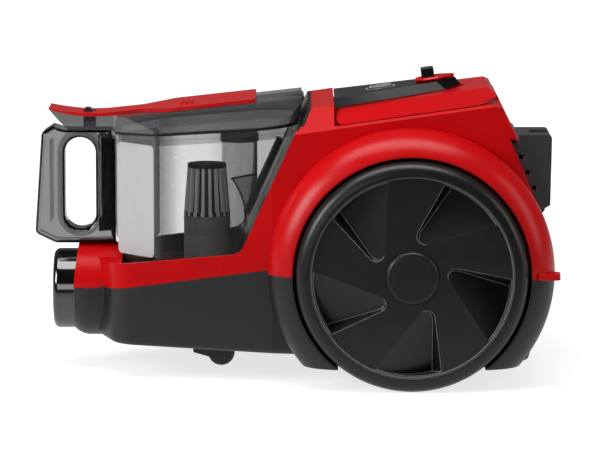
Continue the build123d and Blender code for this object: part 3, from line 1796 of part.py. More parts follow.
# Exhaust cover with louvres and the parking box
seat = exhaust_out * fit_gap
with BuildPart() as exhaust_cover:
    with BuildSketch(Plane.XZ):
        with BuildLine():
            Polyline(
                (exhaust_top_x + seat.X, exhaust_top_z + seat.Z - 2 * fit_gap),
                (cover_top_x, cover_top_z - 2 * fit_gap),
                (cover_low_x, cover_low_z),
                (exhaust_low_x + seat.X, exhaust_low_z + seat.Z),
                close=True,
            )
        make_face()
    extrude(amount=cover_half, both=True)
    with BuildSketch(Plane.XZ) as box_sketch:
        with BuildLine():
            Polyline(
                (cover_top_x - wall, cover_top_z - 2 * fit_gap),
                (box_rear_x, cover_top_z - 2 * fit_gap),
                (box_low_x, cover_low_z),
                (box_tip_x, exhaust_low_z),
                (cover_low_x - wall, cover_low_z),
                close=True,
            )
        make_face()
        fillet(box_sketch.vertices().sort_by_distance((box_rear_x, cover_top_z, 0))[0], radius=box_round)
    extrude(amount=box_half, both=True)
    with BuildSketch(Plane.YZ.offset(box_rear_x - slot_depth)):
        with Locations((0, (cover_top_z + cover_low_z) / 2 + 2 * box_wall)):
            Rectangle(2 * slot_half, cover_top_z - cover_low_z)
    extrude(amount=span, mode=Mode.SUBTRACT)
    for side in (-1, 1):
        with BuildSketch(Plane.XZ.offset(side * (cover_half - louvre_depth))):
            for step in range(louvre_count):
                along = louvre_first + step * louvre_pitch
                spot = exhaust_run * along + exhaust_out * louvre_offset
                with Locations((exhaust_top_x + spot.X, exhaust_top_z + spot.Z)):
                    Rectangle(louvre_length, louvre_height, rotation=louvre_tilt)
        extrude(amount=side * cover_half, mode=Mode.SUBTRACT)
save(exhaust_cover.part, "exhaust_cover")

with BuildPart() as exhaust_filter:
    with BuildSketch(exhaust_face.offset(-wall - fit_gap)):
        with Locations((0, -window_low - window_height / 2)):
            Rectangle(2 * window_half + 2 * wall, window_height + 2 * wall)
    extrude(amount=-filter_thick)
    add(room_fit, mode=Mode.INTERSECT)
save(exhaust_filter.part, "exhaust_filter")

# Motor, fan and the filter in front of it
def along_x(x):
    """Plane across the motor axis at a station."""
    return Plane(origin=(x, 0, motor_z), x_dir=(0, 1, 0), z_dir=(1, 0, 0))


with BuildPart() as motor_can:
    with BuildSketch(along_x(motor_start_x)):
        Circle(motor_radius)
    extrude(amount=motor_end_x - motor_start_x)
    with BuildSketch(along_x(motor_start_x + bearing_width)):
        Circle(motor_radius - motor_wall)
    extrude(amount=motor_end_x - motor_start_x - 2 * bearing_width, mode=Mode.SUBTRACT)
    with BuildSketch(along_x(motor_start_x)):
        Circle(bearing_radius)
    extrude(amount=span, mode=Mode.SUBTRACT)
save(motor_can.part, "motor_can")

with BuildPart() as motor_bearings:
    for start in (motor_start_x, motor_end_x - bearing_width):
        with BuildSketch(along_x(start)):
            Circle(bearing_radius - running_gap / 5)
            Circle(shaft_radius + running_gap, mode=Mode.SUBTRACT)
        extrude(amount=bearing_width)
save(motor_bearings.part, "motor_bearings")

with BuildPart() as armature:
    with BuildSketch(along_x(shaft_start_x)):
        Circle(shaft_radius)
    extrude(amount=shaft_end_x - shaft_start_x)
    with BuildSketch(along_x(core_start_x)):
        Circle(core_radius)
    extrude(amount=core_end_x - core_start_x)
save(armature.part, "armature")

with BuildPart() as fan_shroud:
    with BuildSketch(along_x(shroud_start_x)):
        Circle(shroud_radius)
    extrude(amount=motor_start_x - fit_gap - shroud_start_x)
    with BuildSketch(along_x(shroud_start_x + motor_wall)):
        Circle(shroud_radius - motor_wall)
    extrude(amount=span, mode=Mode.SUBTRACT)
    with BuildSketch(along_x(shroud_start_x)):
        Circle(shroud_eye)
    extrude(amount=span, mode=Mode.SUBTRACT)
    with BuildSketch(along_x(motor_start_x - fit_gap)):
        Circle(shroud_radius)
        Circle(motor_radius + fit_gap, mode=Mode.SUBTRACT)
    extrude(amount=bearing_width)
save(fan_shroud.part, "fan_shroud")

impeller_x = shroud_start_x + motor_wall + slide_gap
with BuildPart() as impeller:
    with BuildSketch(along_x(impeller_x + impeller_width)):
        Circle(impeller_radius)
    extrude(amount=motor_wall)
    for step in range(impeller_blades):
        turn = step * 360 / impeller_blades
        with BuildSketch(along_x(impeller_x)):
            with Locations(Location((0, 0), turn)):
                with Locations(Location(((impeller_radius + shroud_eye) / 2, 0), blade_angle)):
                    Rectangle(impeller_radius - shroud_eye, blade_thick)
        extrude(amount=impeller_width)
    with BuildSketch(along_x(impeller_x)):
        Circle(3 * shaft_radius)
    extrude(amount=impeller_width)
    with BuildSketch(along_x(impeller_x)):
        Circle(impeller_radius)
    extrude(amount=impeller_width + motor_wall, mode=Mode.INTERSECT)
    with BuildSketch(along_x(impeller_x)):
        Circle(shaft_radius + running_gap)
    extrude(amount=span, mode=Mode.SUBTRACT)
save(impeller.part, "impeller")

with BuildPart() as motor_filter:
    with BuildSketch(along_x(shroud_start_x - fit_gap)):
        Circle(foam_radius)
    extrude(amount=-foam_thick)
save(motor_filter.part, "motor_filter")

with BuildPart() as filter_grille:
    with BuildSketch(along_x(shroud_start_x - 2 * fit_gap - foam_thick)):
        Circle(shroud_radius)
        for step in range(grille_slots):
            with Locations(((step - (grille_slots - 1) / 2) * grille_pitch, 0)):
                Rectangle(grille_slot, foam_radius, mode=Mode.SUBTRACT)
    extrude(amount=-grille_thick)
save(filter_grille.part, "filter_grille")

with BuildPart() as motor_mounts:
    for start in (motor_start_x + bearing_width + wall, motor_end_x - mount_length):
        with BuildSketch(Plane.XY):
            with Locations((start + mount_length / 2, 0)):
                Rectangle(mount_length, 2 * mount_post * wall)
        extrude(amount=motor_z)
    with BuildSketch(along_x(0)):
        Circle(motor_radius + fit_gap)
    extrude(amount=span, mode=Mode.SUBTRACT)
    add(room_fit, mode=Mode.INTERSECT)
save(motor_mounts.part, "motor_mounts")

# Cord reel on its post, with the spring case and the cord outlet
reel_side = Plane(origin=(reel_x, 0, reel_z), x_dir=(1, 0, 0), z_dir=(0, -1, 0))
case_start = reel_half + slide_gap
plate_at = case_start + spring_case_thick + fit_gap
with BuildPart() as cord_reel:
    with BuildSketch(reel_side):
        Circle(reel_drum)
    extrude(amount=reel_half, both=True)
    for side in (-1, 1):
        with BuildSketch(reel_side.offset(side * reel_half)):
            Circle(reel_flange)
        extrude(amount=-side * reel_flange_thick)
    with BuildSketch(reel_side):
        Circle(reel_post + running_gap)
    extrude(amount=span, both=True, mode=Mode.SUBTRACT)
save(cord_reel.part, "cord_reel")

with BuildPart() as reel_bracket:
    with BuildSketch(reel_side):
        Circle(reel_post)
    extrude(amount=plate_at + wall, both=True)
    for side in (-1, 1):
        with BuildSketch(reel_side.offset(side * plate_at)):
            Circle(2 * reel_post)
            with Locations((0, -reel_z / 2)):
                Rectangle(4 * reel_post, reel_z)
        extrude(amount=side * wall)
    add(room_fit, mode=Mode.INTERSECT)
save(reel_bracket.part, "reel_bracket")

with BuildPart() as reel_spring_case:
    with BuildSketch(reel_side.offset(case_start)):
        Circle(spring_case)
        Circle(reel_post + running_gap, mode=Mode.SUBTRACT)
    extrude(amount=spring_case_thick)
save(reel_spring_case.part, "reel_spring_case")

tail_lean = (body_rear_x - floor_rear_x) / (tail_low_z - floor_rear_z)
gland_x = floor_rear_x + (gland_z - floor_rear_z) * tail_lean
gland_plane = Plane(origin=(gland_x - gland_inside, gland_side, gland_z), x_dir=(0, 1, 0), z_dir=(1, 0, 0))
with BuildPart() as cord_gland:
    with BuildSketch(gland_plane):
        Circle(gland_radius)
        Circle(gland_bore, mode=Mode.SUBTRACT)
    extrude(amount=gland_inside + gland_outside)
save(cord_gland.part, "cord_gland")

# Screws, circuit board and switch
with BuildPart() as body_screws:
    for spot_x, spot_y in screw_spots:
        seat_z = floor_height(spot_x) + wall - screw_head_thick
        with BuildSketch(Plane.XY.offset(seat_z)):
            with Locations((spot_x, spot_y)):
                Circle(screw_head)
        extrude(amount=screw_head_thick - fit_gap)
        with BuildSketch(Plane.XY.offset(seat_z)):
            with Locations((spot_x, spot_y)):
                Circle(screw_radius)
        extrude(amount=post_low_z + screw_length - wall - seat_z)
save(body_screws.part, "body_screws")

board_end = board_start + board_length
board_gap = spine_wall + fit_gap
with BuildPart() as circuit_board:
    with BuildSketch(deck.offset(board_low)):
        with BuildLine():
            Polyline(
                *mirrored([
                    (board_start, panel_spine_half(board_start) - board_gap),
                    (board_end, panel_spine_half(board_end) - board_gap),
                ]),
                close=True,
            )
        make_face()
    extrude(amount=board_thick)
save(circuit_board.part, "circuit_board")

with BuildPart() as power_switch:
    with BuildSketch(deck.offset(board_low + board_thick)):
        with Locations((button_along, 0)):
            Rectangle(switch_length, 2 * switch_half)
    extrude(amount=switch_top - board_low - board_thick)
save(power_switch.part, "power_switch")
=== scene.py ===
import json
from math import cos, pi, radians, sin, tan

import bmesh
import bpy
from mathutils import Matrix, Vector


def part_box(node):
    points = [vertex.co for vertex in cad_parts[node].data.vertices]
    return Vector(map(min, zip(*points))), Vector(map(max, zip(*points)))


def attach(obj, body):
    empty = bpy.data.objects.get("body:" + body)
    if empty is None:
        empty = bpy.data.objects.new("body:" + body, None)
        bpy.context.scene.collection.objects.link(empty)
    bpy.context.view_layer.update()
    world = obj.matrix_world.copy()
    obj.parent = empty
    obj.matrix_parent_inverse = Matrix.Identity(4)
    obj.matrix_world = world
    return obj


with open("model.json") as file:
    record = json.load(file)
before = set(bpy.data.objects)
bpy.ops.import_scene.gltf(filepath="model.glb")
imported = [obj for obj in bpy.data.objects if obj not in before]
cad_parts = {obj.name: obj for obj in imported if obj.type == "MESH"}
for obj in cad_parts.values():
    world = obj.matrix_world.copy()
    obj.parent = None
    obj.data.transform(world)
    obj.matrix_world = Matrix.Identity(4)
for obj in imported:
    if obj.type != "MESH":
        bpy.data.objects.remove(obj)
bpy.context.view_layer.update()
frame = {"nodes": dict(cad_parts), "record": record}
nodes = frame["nodes"]

# Camera, matched to the photograph, and the aim of the lamps
camera_lens = 0.2358
sensor_width = 0.036
camera_distance = 3.0558
camera_elevation = radians(8.0)
camera_target = Vector((0.0052, 0.0, 0.1049))
lamp_aim = Vector((0.0, 0.0, 0.1))

# Colours, linear
red = (0.52, 0.0014, 0.0030)
charcoal = (0.0110, 0.0110, 0.0114)
jet = (0.0040, 0.0040, 0.0042)
wheel_black = (0.0085, 0.0085, 0.0088)
tyre_black = (0.0065, 0.0065, 0.0068)
clear = (0.97, 0.97, 0.975)
smoke = (0.02, 0.02, 0.03)
frost = (0.74, 0.74, 0.75)
ash = (0.055, 0.055, 0.058)
rib_grey = (0.92, 0.92, 0.93)
ring_grey = (0.28, 0.28, 0.29)
stand_grey = (0.30, 0.30, 0.31)
# Paler grey of the painted highlight along the edges of the wheels
edge_highlight_grey = (0.32, 0.32, 0.33)
# Darker black of the painted shade in the wheel pockets
pocket_shade_black = (0.0012, 0.0012, 0.0013)
haze = (0.05, 0.05, 0.053)
seal_grey = (0.02, 0.02, 0.021)
slate = (0.022, 0.022, 0.024)
steel = (0.56, 0.56, 0.58)
foam = (0.10, 0.10, 0.105)
board_green = (0.02, 0.10, 0.045)
print_white = (0.72, 0.72, 0.73)
floor_grey = (0.45, 0.45, 0.45)
pure_white = (1.0, 1.0, 1.0)

# Places taken from the CAD source, metres
deck_start = Vector((0.031, 0.0, 0.1952))
deck_angle = radians(8.0)
deck_along = Vector((cos(deck_angle), 0.0, sin(deck_angle)))
deck_up = Vector((-sin(deck_angle), 0.0, cos(deck_angle)))
panel_top = 0.0163
button_along = 0.039
button_proud = 0.001
cone_x = -0.067
cone_ribs = 18
cone_cap_z = 0.1544
rim_x = -0.067
rim_z = 0.189
rim_slope = tan(radians(4.0))
rim_band = 0.0085
label_start_x = -0.1335
label_end_x = -0.1056
label_fade = 0.018
pillar_foot_x = -0.0405
pillar_foot_z = 0.0976
pillar_slope = 0.4549
pillar_lining = 0.0045
grip_slot_start_x = -0.1766
grip_slot_end_x = -0.1528
grip_slot_low_z = 0.1074
grip_slot_top_z = 0.1786
vane_curve = ((-0.0485, 0.145), (-0.040, 0.128), (-0.0385, 0.109))
vane_corner = (-0.028, 0.149)
well_front_x = -0.127
well_corner_x = -0.103
well_corner_half = 0.0665
well_flare = 0.124
well_taper = 1.118
well_low_z = 0.04

# Sizes of surface detail, metres
colour_blotch = 0.03
gloss_blotch = 0.012
clear_blotch = 0.04
clear_gloss_blotch = 0.015
# Width of the painted highlight along edges
edge_highlight_width = 0.0009
# Depth over which the painted shade comes in, in the wheel pockets
pocket_shade_depth = 0.008
fine_grain = 0.0006
gloss_grain = 0.004
rubber_grain = 0.0005
soft_ripple = 0.03
ripple_depth = 0.00003
handle_wall = 0.0022
weld_gap = 0.00001
foam_cells_per_metre = 900.0

# Part of the noise's range that its blotches fill
noise_range = (0.3, 0.7)

# Limits of the masks: turn of an edge for the painted edge highlight, start of the painted shade in a
# pocket, faces that look into the well, slots of the cone
edge_highlight_turn = (0.99, 0.90)
pocket_shade_start = 0.1
inward_side = -0.01
inward_front = -0.012
slot_wave = 0.1

# Shares of light held back by one face of the smoky bin, by place on it
bin_veil = 0.145
rim_veil = 0.22
label_veil = 0.24
back_veil = 0.10
front_veil = 0.30
lid_veil = 0.68
liner_veil = 0.32

# Thickening of solid smoky plastic, per metre
smoky_density = 45.0
handle_density = 205.0
vane_density = 420.0

# Studio: each range is from, to, and the brightness at both
floor_size = 12.0
# Floor glow is weaker near the part: painted shade on the floor around it
floor_glow_and_shade = (0.25, 0.9, 0.74, 1.0)
floor_mirror = (-0.75, -0.12, 0.06, 0.8)
world_behind = (-0.35, 0.25, 0.03, 1.0)
world_low = (0.05, 0.55, 0.16, 0.04)
world_fill = 0.25


# Materials
def surface(name):
    """New node material with its tree, shader and object coordinates."""
    mat = bpy.data.materials.new(name)
    mat.use_nodes = True
    tree = mat.node_tree
    shader = tree.nodes["Principled BSDF"]
    place = tree.nodes.new("ShaderNodeTexCoord")
    return mat, tree, shader, place.outputs["Object"]


def noise(tree, place, size, detail=3.0):
    """Noise whose blotches are about a size across, in metres."""
    node = tree.nodes.new("ShaderNodeTexNoise")
    node.inputs["Scale"].default_value = 1.0 / size
    node.inputs["Detail"].default_value = detail
    tree.links.new(place, node.inputs["Vector"])
    return node.outputs["Fac"]


def spread(tree, source, low, high, to_low, to_high):
    """Map a value from one range to another, clamped."""
    node = tree.nodes.new("ShaderNodeMapRange")
    node.inputs["From Min"].default_value = low
    node.inputs["From Max"].default_value = high
    node.inputs["To Min"].default_value = to_low
    node.inputs["To Max"].default_value = to_high
    tree.links.new(source, node.inputs["Value"])
    return node.outputs["Result"]


def ramp(tree, source, low, high, socket):
    """Spread a noise between two values or colours onto a shader socket."""
    if not isinstance(low, tuple):
        tree.links.new(spread(tree, source, *noise_range, low, high), socket)
        return
    node = tree.nodes.new("ShaderNodeValToRGB")
    for element, place, colour in zip(node.color_ramp.elements, noise_range, (low, high)):
        element.position = place
        element.color = (*colour, 1.0)
    tree.links.new(source, node.inputs["Fac"])
    tree.links.new(node.outputs["Color"], socket)


def bump(tree, source, shader, depth):
    """Raise the surface by a noise, a depth in metres."""
    node = tree.nodes.new("ShaderNodeBump")
    node.inputs["Distance"].default_value = depth
    tree.links.new(source, node.inputs["Height"])
    tree.links.new(node.outputs["Normal"], shader.inputs["Normal"])


def shade(colour, factor):
    """Colour made darker or lighter by a factor."""
    return tuple(min(1.0, part * factor) for part in colour)


def sums(tree, operation, first, second):
    """One step of arithmetic on node outputs or numbers."""
    node = tree.nodes.new("ShaderNodeMath")
    node.operation = operation
    for value, socket in ((first, node.inputs[0]), (second, node.inputs[1])):
        if isinstance(value, (int, float)):
            socket.default_value = value
        else:
            tree.links.new(value, socket)
    return node.outputs[0]


def line(tree, value, slope, start):
    """Straight-line function of a node output."""
    return sums(tree, "ADD", sums(tree, "MULTIPLY", value, slope), start)


def axes(tree, place):
    """The three coordinates of a place, apart."""
    node = tree.nodes.new("ShaderNodeSeparateXYZ")
    tree.links.new(place, node.inputs["Vector"])
    return node.outputs["X"], node.outputs["Y"], node.outputs["Z"]


def recolour(tree, shader, mask, colour):
    """Lay a second colour over the base colour where a mask is one."""
    socket = shader.inputs["Base Color"]
    under = socket.links[0].from_socket
    node = tree.nodes.new("ShaderNodeMix")
    node.data_type = "RGBA"
    tree.links.new(mask, node.inputs["Factor"])
    tree.links.new(under, node.inputs["A"])
    node.inputs["B"].default_value = (*colour, 1.0)
    tree.links.new(node.outputs["Result"], socket)


def plastic(name, colour, rough, grain, depth, drift=0.08, ior=1.5):
    """Moulded plastic with fine grain, faint colour drift and uneven gloss."""
    mat, tree, shader, place = surface(name)
    ramp(tree, noise(tree, place, colour_blotch), shade(colour, 1 - drift), shade(colour, 1 + drift),
         shader.inputs["Base Color"])
    ramp(tree, noise(tree, place, gloss_blotch), rough * 0.9, rough * 1.1, shader.inputs["Roughness"])
    bump(tree, noise(tree, place, grain, detail=2.0), shader, depth)
    shader.inputs["IOR"].default_value = ior
    return mat


def parts_of(mat):
    """Tree, shader and object coordinates of a material made earlier."""
    tree = mat.node_tree
    return tree, tree.nodes["Principled BSDF"], tree.nodes["Texture Coordinate"].outputs["Object"]


def painted_edge_highlight(mat, colour, radius):
    """Painted highlight on edges: a paler line where two faces of a moulding meet, where a rounded edge
    would catch the light.
    """
    tree, shader, _ = parts_of(mat)
    soft = tree.nodes.new("ShaderNodeBevel")
    soft.samples = 8
    soft.inputs["Radius"].default_value = radius
    flat = tree.nodes.new("ShaderNodeNewGeometry")
    turn = tree.nodes.new("ShaderNodeVectorMath")
    turn.operation = "DOT_PRODUCT"
    tree.links.new(soft.outputs["Normal"], turn.inputs[0])
    tree.links.new(flat.outputs["True Normal"], turn.inputs[1])
    recolour(tree, shader, spread(tree, turn.outputs["Value"], *edge_highlight_turn, 0.0, 1.0), colour)
    return mat


def painted_pocket_shade(mat, colour, face, depth):
    """Painted shade in pockets: a darker colour that comes in with the depth under an outer face."""
    tree, shader, place = parts_of(mat)
    _, y, _ = axes(tree, place)
    out = sums(tree, "ABSOLUTE", y, 0.0)
    deep = spread(tree, out, face - depth, face - pocket_shade_start * depth, 1.0, 0.0)
    recolour(tree, shader, deep, colour)
    return mat


def clear_skin(name, colour, dulling, rough):
    """Skin of a clear moulding, with faint ripples and uneven gloss."""
    mat, tree, shader, place = surface(name)
    ramp(tree, noise(tree, place, clear_blotch), shade(colour, dulling), colour, shader.inputs["Base Color"])
    ramp(tree, noise(tree, place, clear_gloss_blotch), rough * 0.7, rough * 1.3, shader.inputs["Roughness"])
    bump(tree, noise(tree, place, soft_ripple, detail=1.0), shader, ripple_depth)
    return mat, tree, shader


def clear_plastic(name, thickening, rough):
    """Solid smoky plastic that darkens with its thickness."""
    mat, tree, shader = clear_skin(name, clear, 0.98, rough)
    shader.inputs["Transmission Weight"].default_value = 1.0
    shader.inputs["IOR"].default_value = 1.45
    inside = tree.nodes.new("ShaderNodeVolumeAbsorption")
    inside.inputs["Color"].default_value = (*smoke, 1.0)
    inside.inputs["Density"].default_value = thickening
    tree.links.new(inside.outputs["Volume"], tree.nodes["Material Output"].inputs["Volume"])
    return mat


def thin_clear(name, rough, veil):
    """Thin smoky plastic: each of its faces holds back a share of the light."""
    mat, _, shader = clear_skin(name, haze, 0.9, rough)
    shader.inputs["IOR"].default_value = 2.2
    shader.inputs["Alpha"].default_value = veil
    return mat


def banded_clear(name, rough, veil):
    """Plastic of the bin: darker along its thick rim, beside the label and towards its back."""
    mat = thin_clear(name, rough, veil)
    tree, shader, place = parts_of(mat)
    x, _, z = axes(tree, place)
    rim = sums(tree, "GREATER_THAN", z, line(tree, x, rim_slope, rim_z - rim_x * rim_slope - rim_band))
    beside = sums(tree, "MULTIPLY", sums(tree, "GREATER_THAN", x, label_end_x),
                  spread(tree, x, label_end_x, label_end_x + label_fade, label_veil, 0.0))
    back = spread(tree, x, cone_x, pillar_foot_x, veil, veil + back_veil)
    front = sums(tree, "MULTIPLY", sums(tree, "LESS_THAN", x, label_start_x), front_veil)
    sides = sums(tree, "ADD", sums(tree, "ADD", beside, back), front)
    total = sums(tree, "ADD", sides, sums(tree, "MULTIPLY", rim, rim_veil))
    tree.links.new(total, shader.inputs["Alpha"])
    return mat


def red_plastic(name, ior):
    """Smooth red plastic."""
    return plastic(name, red, 0.30, gloss_grain, 0.000002, drift=0.04, ior=ior)


def lined_red(name):
    """Red shell whose bin well is lined with dark plastic, on its floor and on faces that look into it."""
    mat = red_plastic(name, 1.22)
    tree, shader, place = parts_of(mat)
    x, y, z = axes(tree, place)
    face = line(tree, z, pillar_slope, pillar_foot_x - pillar_foot_z * pillar_slope + pillar_lining)
    ahead = sums(tree, "LESS_THAN", x, face)
    behind = sums(tree, "GREATER_THAN", x, well_front_x)
    half = sums(
        tree, "MINIMUM",
        line(tree, x, well_flare, well_corner_half - well_corner_x * well_flare),
        line(tree, x, well_taper, well_corner_half - well_corner_x * well_taper),
    )
    between = sums(tree, "LESS_THAN", sums(tree, "ABSOLUTE", y, 0.0), half)
    facing = tree.nodes.new("ShaderNodeNewGeometry").outputs["True Normal"]
    along, across, _ = axes(tree, facing)
    inward = sums(tree, "LESS_THAN", sums(tree, "MULTIPLY", y, across), inward_side)
    from_middle = sums(tree, "SUBTRACT", x, cone_x)
    front = sums(tree, "LESS_THAN", sums(tree, "MULTIPLY", from_middle, along), inward_front)
    floor = sums(tree, "MULTIPLY", behind, between)
    lining = sums(tree, "MAXIMUM", floor, sums(tree, "MAXIMUM", inward, front))
    above = sums(tree, "GREATER_THAN", z, well_low_z)
    inside = sums(tree, "MULTIPLY", ahead, sums(tree, "MULTIPLY", lining, above))
    recolour(tree, shader, inside, jet)
    return mat


def ribbed_cone(name):
    """Cone filter: pale ribs over dark slots, under a black cap."""
    mat = plastic(name, rib_grey, 0.4, fine_grain, 0.00003)
    tree, shader, place = parts_of(mat)
    x, y, z = axes(tree, place)
    turn = sums(tree, "ARCTAN2", y, sums(tree, "SUBTRACT", x, cone_x))
    wave = sums(tree, "COSINE", sums(tree, "MULTIPLY", turn, cone_ribs), 0.0)
    slots = sums(tree, "LESS_THAN", wave, slot_wave)
    cap = sums(tree, "GREATER_THAN", z, cone_cap_z)
    recolour(tree, shader, sums(tree, "MAXIMUM", slots, cap), jet)
    return mat


def frosted(name, colour, rough, clearness):
    """Frosted skin that lets some light through."""
    mat, tree, shader, place = surface(name)
    ramp(tree, noise(tree, place, 0.02), shade(colour, 0.97), shade(colour, 1.03),
         shader.inputs["Base Color"])
    bump(tree, noise(tree, place, fine_grain), shader, 0.00002)
    shader.inputs["Roughness"].default_value = rough
    shader.inputs["Transmission Weight"].default_value = clearness
    shader.inputs["IOR"].default_value = 1.2
    return mat


def metal(name, colour, rough):
    """Turned or drawn steel with fine streaks."""
    mat, tree, shader, place = surface(name)
    ramp(tree, noise(tree, place, 0.004), shade(colour, 0.85), shade(colour, 1.1),
         shader.inputs["Base Color"])
    ramp(tree, noise(tree, place, 0.001), rough * 0.7, rough * 1.4, shader.inputs["Roughness"])
    shader.inputs["Metallic"].default_value = 1.0
    return mat


def sponge(name, colour):
    """Open-celled foam."""
    mat, tree, shader, place = surface(name)
    cells = tree.nodes.new("ShaderNodeTexVoronoi")
    cells.inputs["Scale"].default_value = foam_cells_per_metre
    tree.links.new(place, cells.inputs["Vector"])
    ramp(tree, cells.outputs["Distance"], shade(colour, 0.5), shade(colour, 1.3),
         shader.inputs["Base Color"])
    bump(tree, cells.outputs["Distance"], shader, 0.0006)
    shader.inputs["Roughness"].default_value = 0.95
    return mat


finishes = {
    # Base: the paler lines on its edges are a painted highlight.
    "base_black": painted_edge_highlight(plastic("base_satin", charcoal, 0.42, fine_grain, 0.00003), ash, edge_highlight_width),
    "red_shell": red_plastic("red_gloss", 1.34),
    "gloss_black": plastic("black_gloss", jet, 0.18, gloss_grain, 0.00001),
    # Wheels: painted shade in the pockets and a painted highlight along the edges.
    "wheel_black": painted_edge_highlight(
        painted_pocket_shade(plastic("wheel_satin", wheel_black, 0.34, fine_grain, 0.00002),
                 pocket_shade_black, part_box("right_wheel_disc")[1].y, pocket_shade_depth),
        edge_highlight_grey, edge_highlight_width),
    "tyre_black": plastic("tyre_satin", tyre_black, 0.34, fine_grain, 0.00003),
    "smoky_clear": clear_plastic("smoky_clear", smoky_density, 0.02),
    "pale_panel": frosted("frosted_panel", frost, 0.4, 0.35),
    "grey_plastic": plastic("grey_satin", ash, 0.36, fine_grain, 0.00003),
    "button_grey": plastic("button_satin", jet, 0.3, fine_grain, 0.00002),
    "seal_rubber": plastic("seal_rubber", jet, 0.7, rubber_grain, 0.00005),
    "duct_plastic": plastic("duct_plastic", slate, 0.45, 0.0008, 0.00004),
    "steel": metal("turned_steel", steel, 0.3),
    "filter_foam": sponge("filter_foam", foam),
    "board": plastic("board_green", board_green, 0.5, 0.001, 0.00002),
}
special = {
    "inlet_collar": plastic("collar_gloss", jet, 0.10, gloss_grain, 0.00001, ior=2.0),
    "bin_handle": clear_plastic("handle_clear", handle_density, 0.03),
    "bin_lid": thin_clear("lid_clear", 0.06, lid_veil),
    "control_panel": plastic("panel_gloss", jet, 0.24, fine_grain, 0.00001, ior=1.3),
    "filter_ring": plastic("ring_satin", ring_grey, 0.3, fine_grain, 0.00002),
    "filter_pedestal": plastic("stand_satin", stand_grey, 0.35, fine_grain, 0.00002),
    "bin_body": banded_clear("bin_clear", 0.05, bin_veil),
    "upper_housing": lined_red("red_lined"),
    "cone_filter": ribbed_cone("cone_ribbed"),
    "deflector_vane": clear_plastic("vane_smoke", vane_density, 0.12),
    "lid_seal": plastic("lid_seal_grey", seal_grey, 0.6, rubber_grain, 0.00005),
    "roller_pin": plastic("pin_black", charcoal, 0.4, fine_grain, 0.00002),
    "body_screws": metal("blackened_steel", charcoal, 0.4),
    "hinge_pin": plastic("hinge_black", jet, 0.3, fine_grain, 0.00002),
}


def dress_nodes():
    """Give every CAD node its own finish or that of its record slot."""
    for entry in frame["record"]["subparts"]:
        piece = nodes[entry["node"]]
        piece.data.materials.clear()
        finish = special.get(entry["node"], finishes[entry["material_slot"]])
        piece.data.materials.append(finish)


dress_nodes()


def hollow(node, thick):
    """Show a clear solid as the thin shell it really is."""
    weld = nodes[node].modifiers.new("weld", "WELD")
    weld.merge_threshold = weld_gap
    shell = nodes[node].modifiers.new("shell", "SOLIDIFY")
    shell.thickness = thick
    shell.offset = -1.0
    shell.use_even_offset = True


hollow("bin_handle", handle_wall)


# Detail pieces
def piece(name, corners, faces, body, slot, finish):
    """Mesh piece in the row frame, its faces looking outwards, that rides on a body."""
    mesh = bpy.data.meshes.new(name)
    mesh.from_pydata([tuple(corner) for corner in corners], [], faces)
    turned = bmesh.new()
    turned.from_mesh(mesh)
    bmesh.ops.recalc_face_normals(turned, faces=turned.faces)
    turned.to_mesh(mesh)
    turned.free()
    mesh.materials.append(finish)
    item = bpy.data.objects.new(name, mesh)
    bpy.context.scene.collection.objects.link(item)
    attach(item, body)


def on_deck(along, across, height):
    """Point over the sloping deck."""
    return deck_start + deck_along * along + Vector((0.0, across, 0.0)) + deck_up * height


def arc_band(centre, inner, outer, low, high, start, end, steps):
    """Flat raised arc on the deck: corners and faces of its strip."""
    corners = []
    for step in range(steps + 1):
        turn = start + (end - start) * step / steps
        for radius, height in ((inner, low), (inner, high), (outer, high), (outer, low)):
            corners.append(on_deck(centre + radius * cos(turn), radius * sin(turn), height))
    faces = []
    for step in range(steps):
        at = 4 * step
        for side in range(4):
            after = (side + 1) % 4
            faces.append((at + side, at + after, at + 4 + after, at + 4 + side))
    faces.append((0, 1, 2, 3))
    faces.append(tuple(4 * steps + side for side in (3, 2, 1, 0)))
    return corners, faces


def joined(*parts):
    """Several sets of corners and faces as one."""
    corners = []
    faces = []
    for some_corners, some_faces in parts:
        start = len(corners)
        corners.extend(some_corners)
        faces.extend(tuple(start + index for index in face) for face in some_faces)
    return corners, faces


def bar(start, end, half, low, high):
    """Short raised bar on the deck between two places along it."""
    corners = [
        on_deck(along, across, height)
        for along in (start, end) for across in (-half, half) for height in (low, high)
    ]
    return corners, [(0, 1, 3, 2), (4, 6, 7, 5), (0, 4, 5, 1), (2, 3, 7, 6), (0, 2, 6, 4), (1, 5, 7, 3)]


def make_button_marks():
    """White ring and a plain on-off sign on the power button, and a ring around it on the panel."""
    white = plastic("button_print", print_white, 0.5, fine_grain, 0.00001)
    sunk, proud = 0.0003, 0.0001
    top = panel_top + button_proud
    depth = (top - sunk, top + proud)
    sign = joined(
        arc_band(button_along, 0.0034, 0.0042, *depth, radians(35), radians(325), 28),
        bar(button_along + 0.0018, button_along + 0.0052, 0.0004, *depth),
        arc_band(button_along, 0.0076, 0.0086, *depth, 0.0, 2 * pi, 48),
    )
    piece("button_sign", *sign, "power_button", "pale_panel", white)
    depth = (panel_top - sunk, panel_top + proud)
    surround = arc_band(button_along, 0.0107, 0.0113, *depth, 0.0, 2 * pi, 56)
    piece("button_surround", *surround, "chassis", "pale_panel", white)


def prism(loop, low, high):
    """Solid between two values of Y over a loop of places in the upright plane."""
    count = len(loop)
    corners = [(x, y, z) for y in (low, high) for x, z in loop]
    faces = [tuple(range(count)), tuple(reversed(range(count, 2 * count)))]
    for index in range(count):
        after = (index + 1) % count
        faces.append((index, count + index, count + after, after))
    return corners, faces


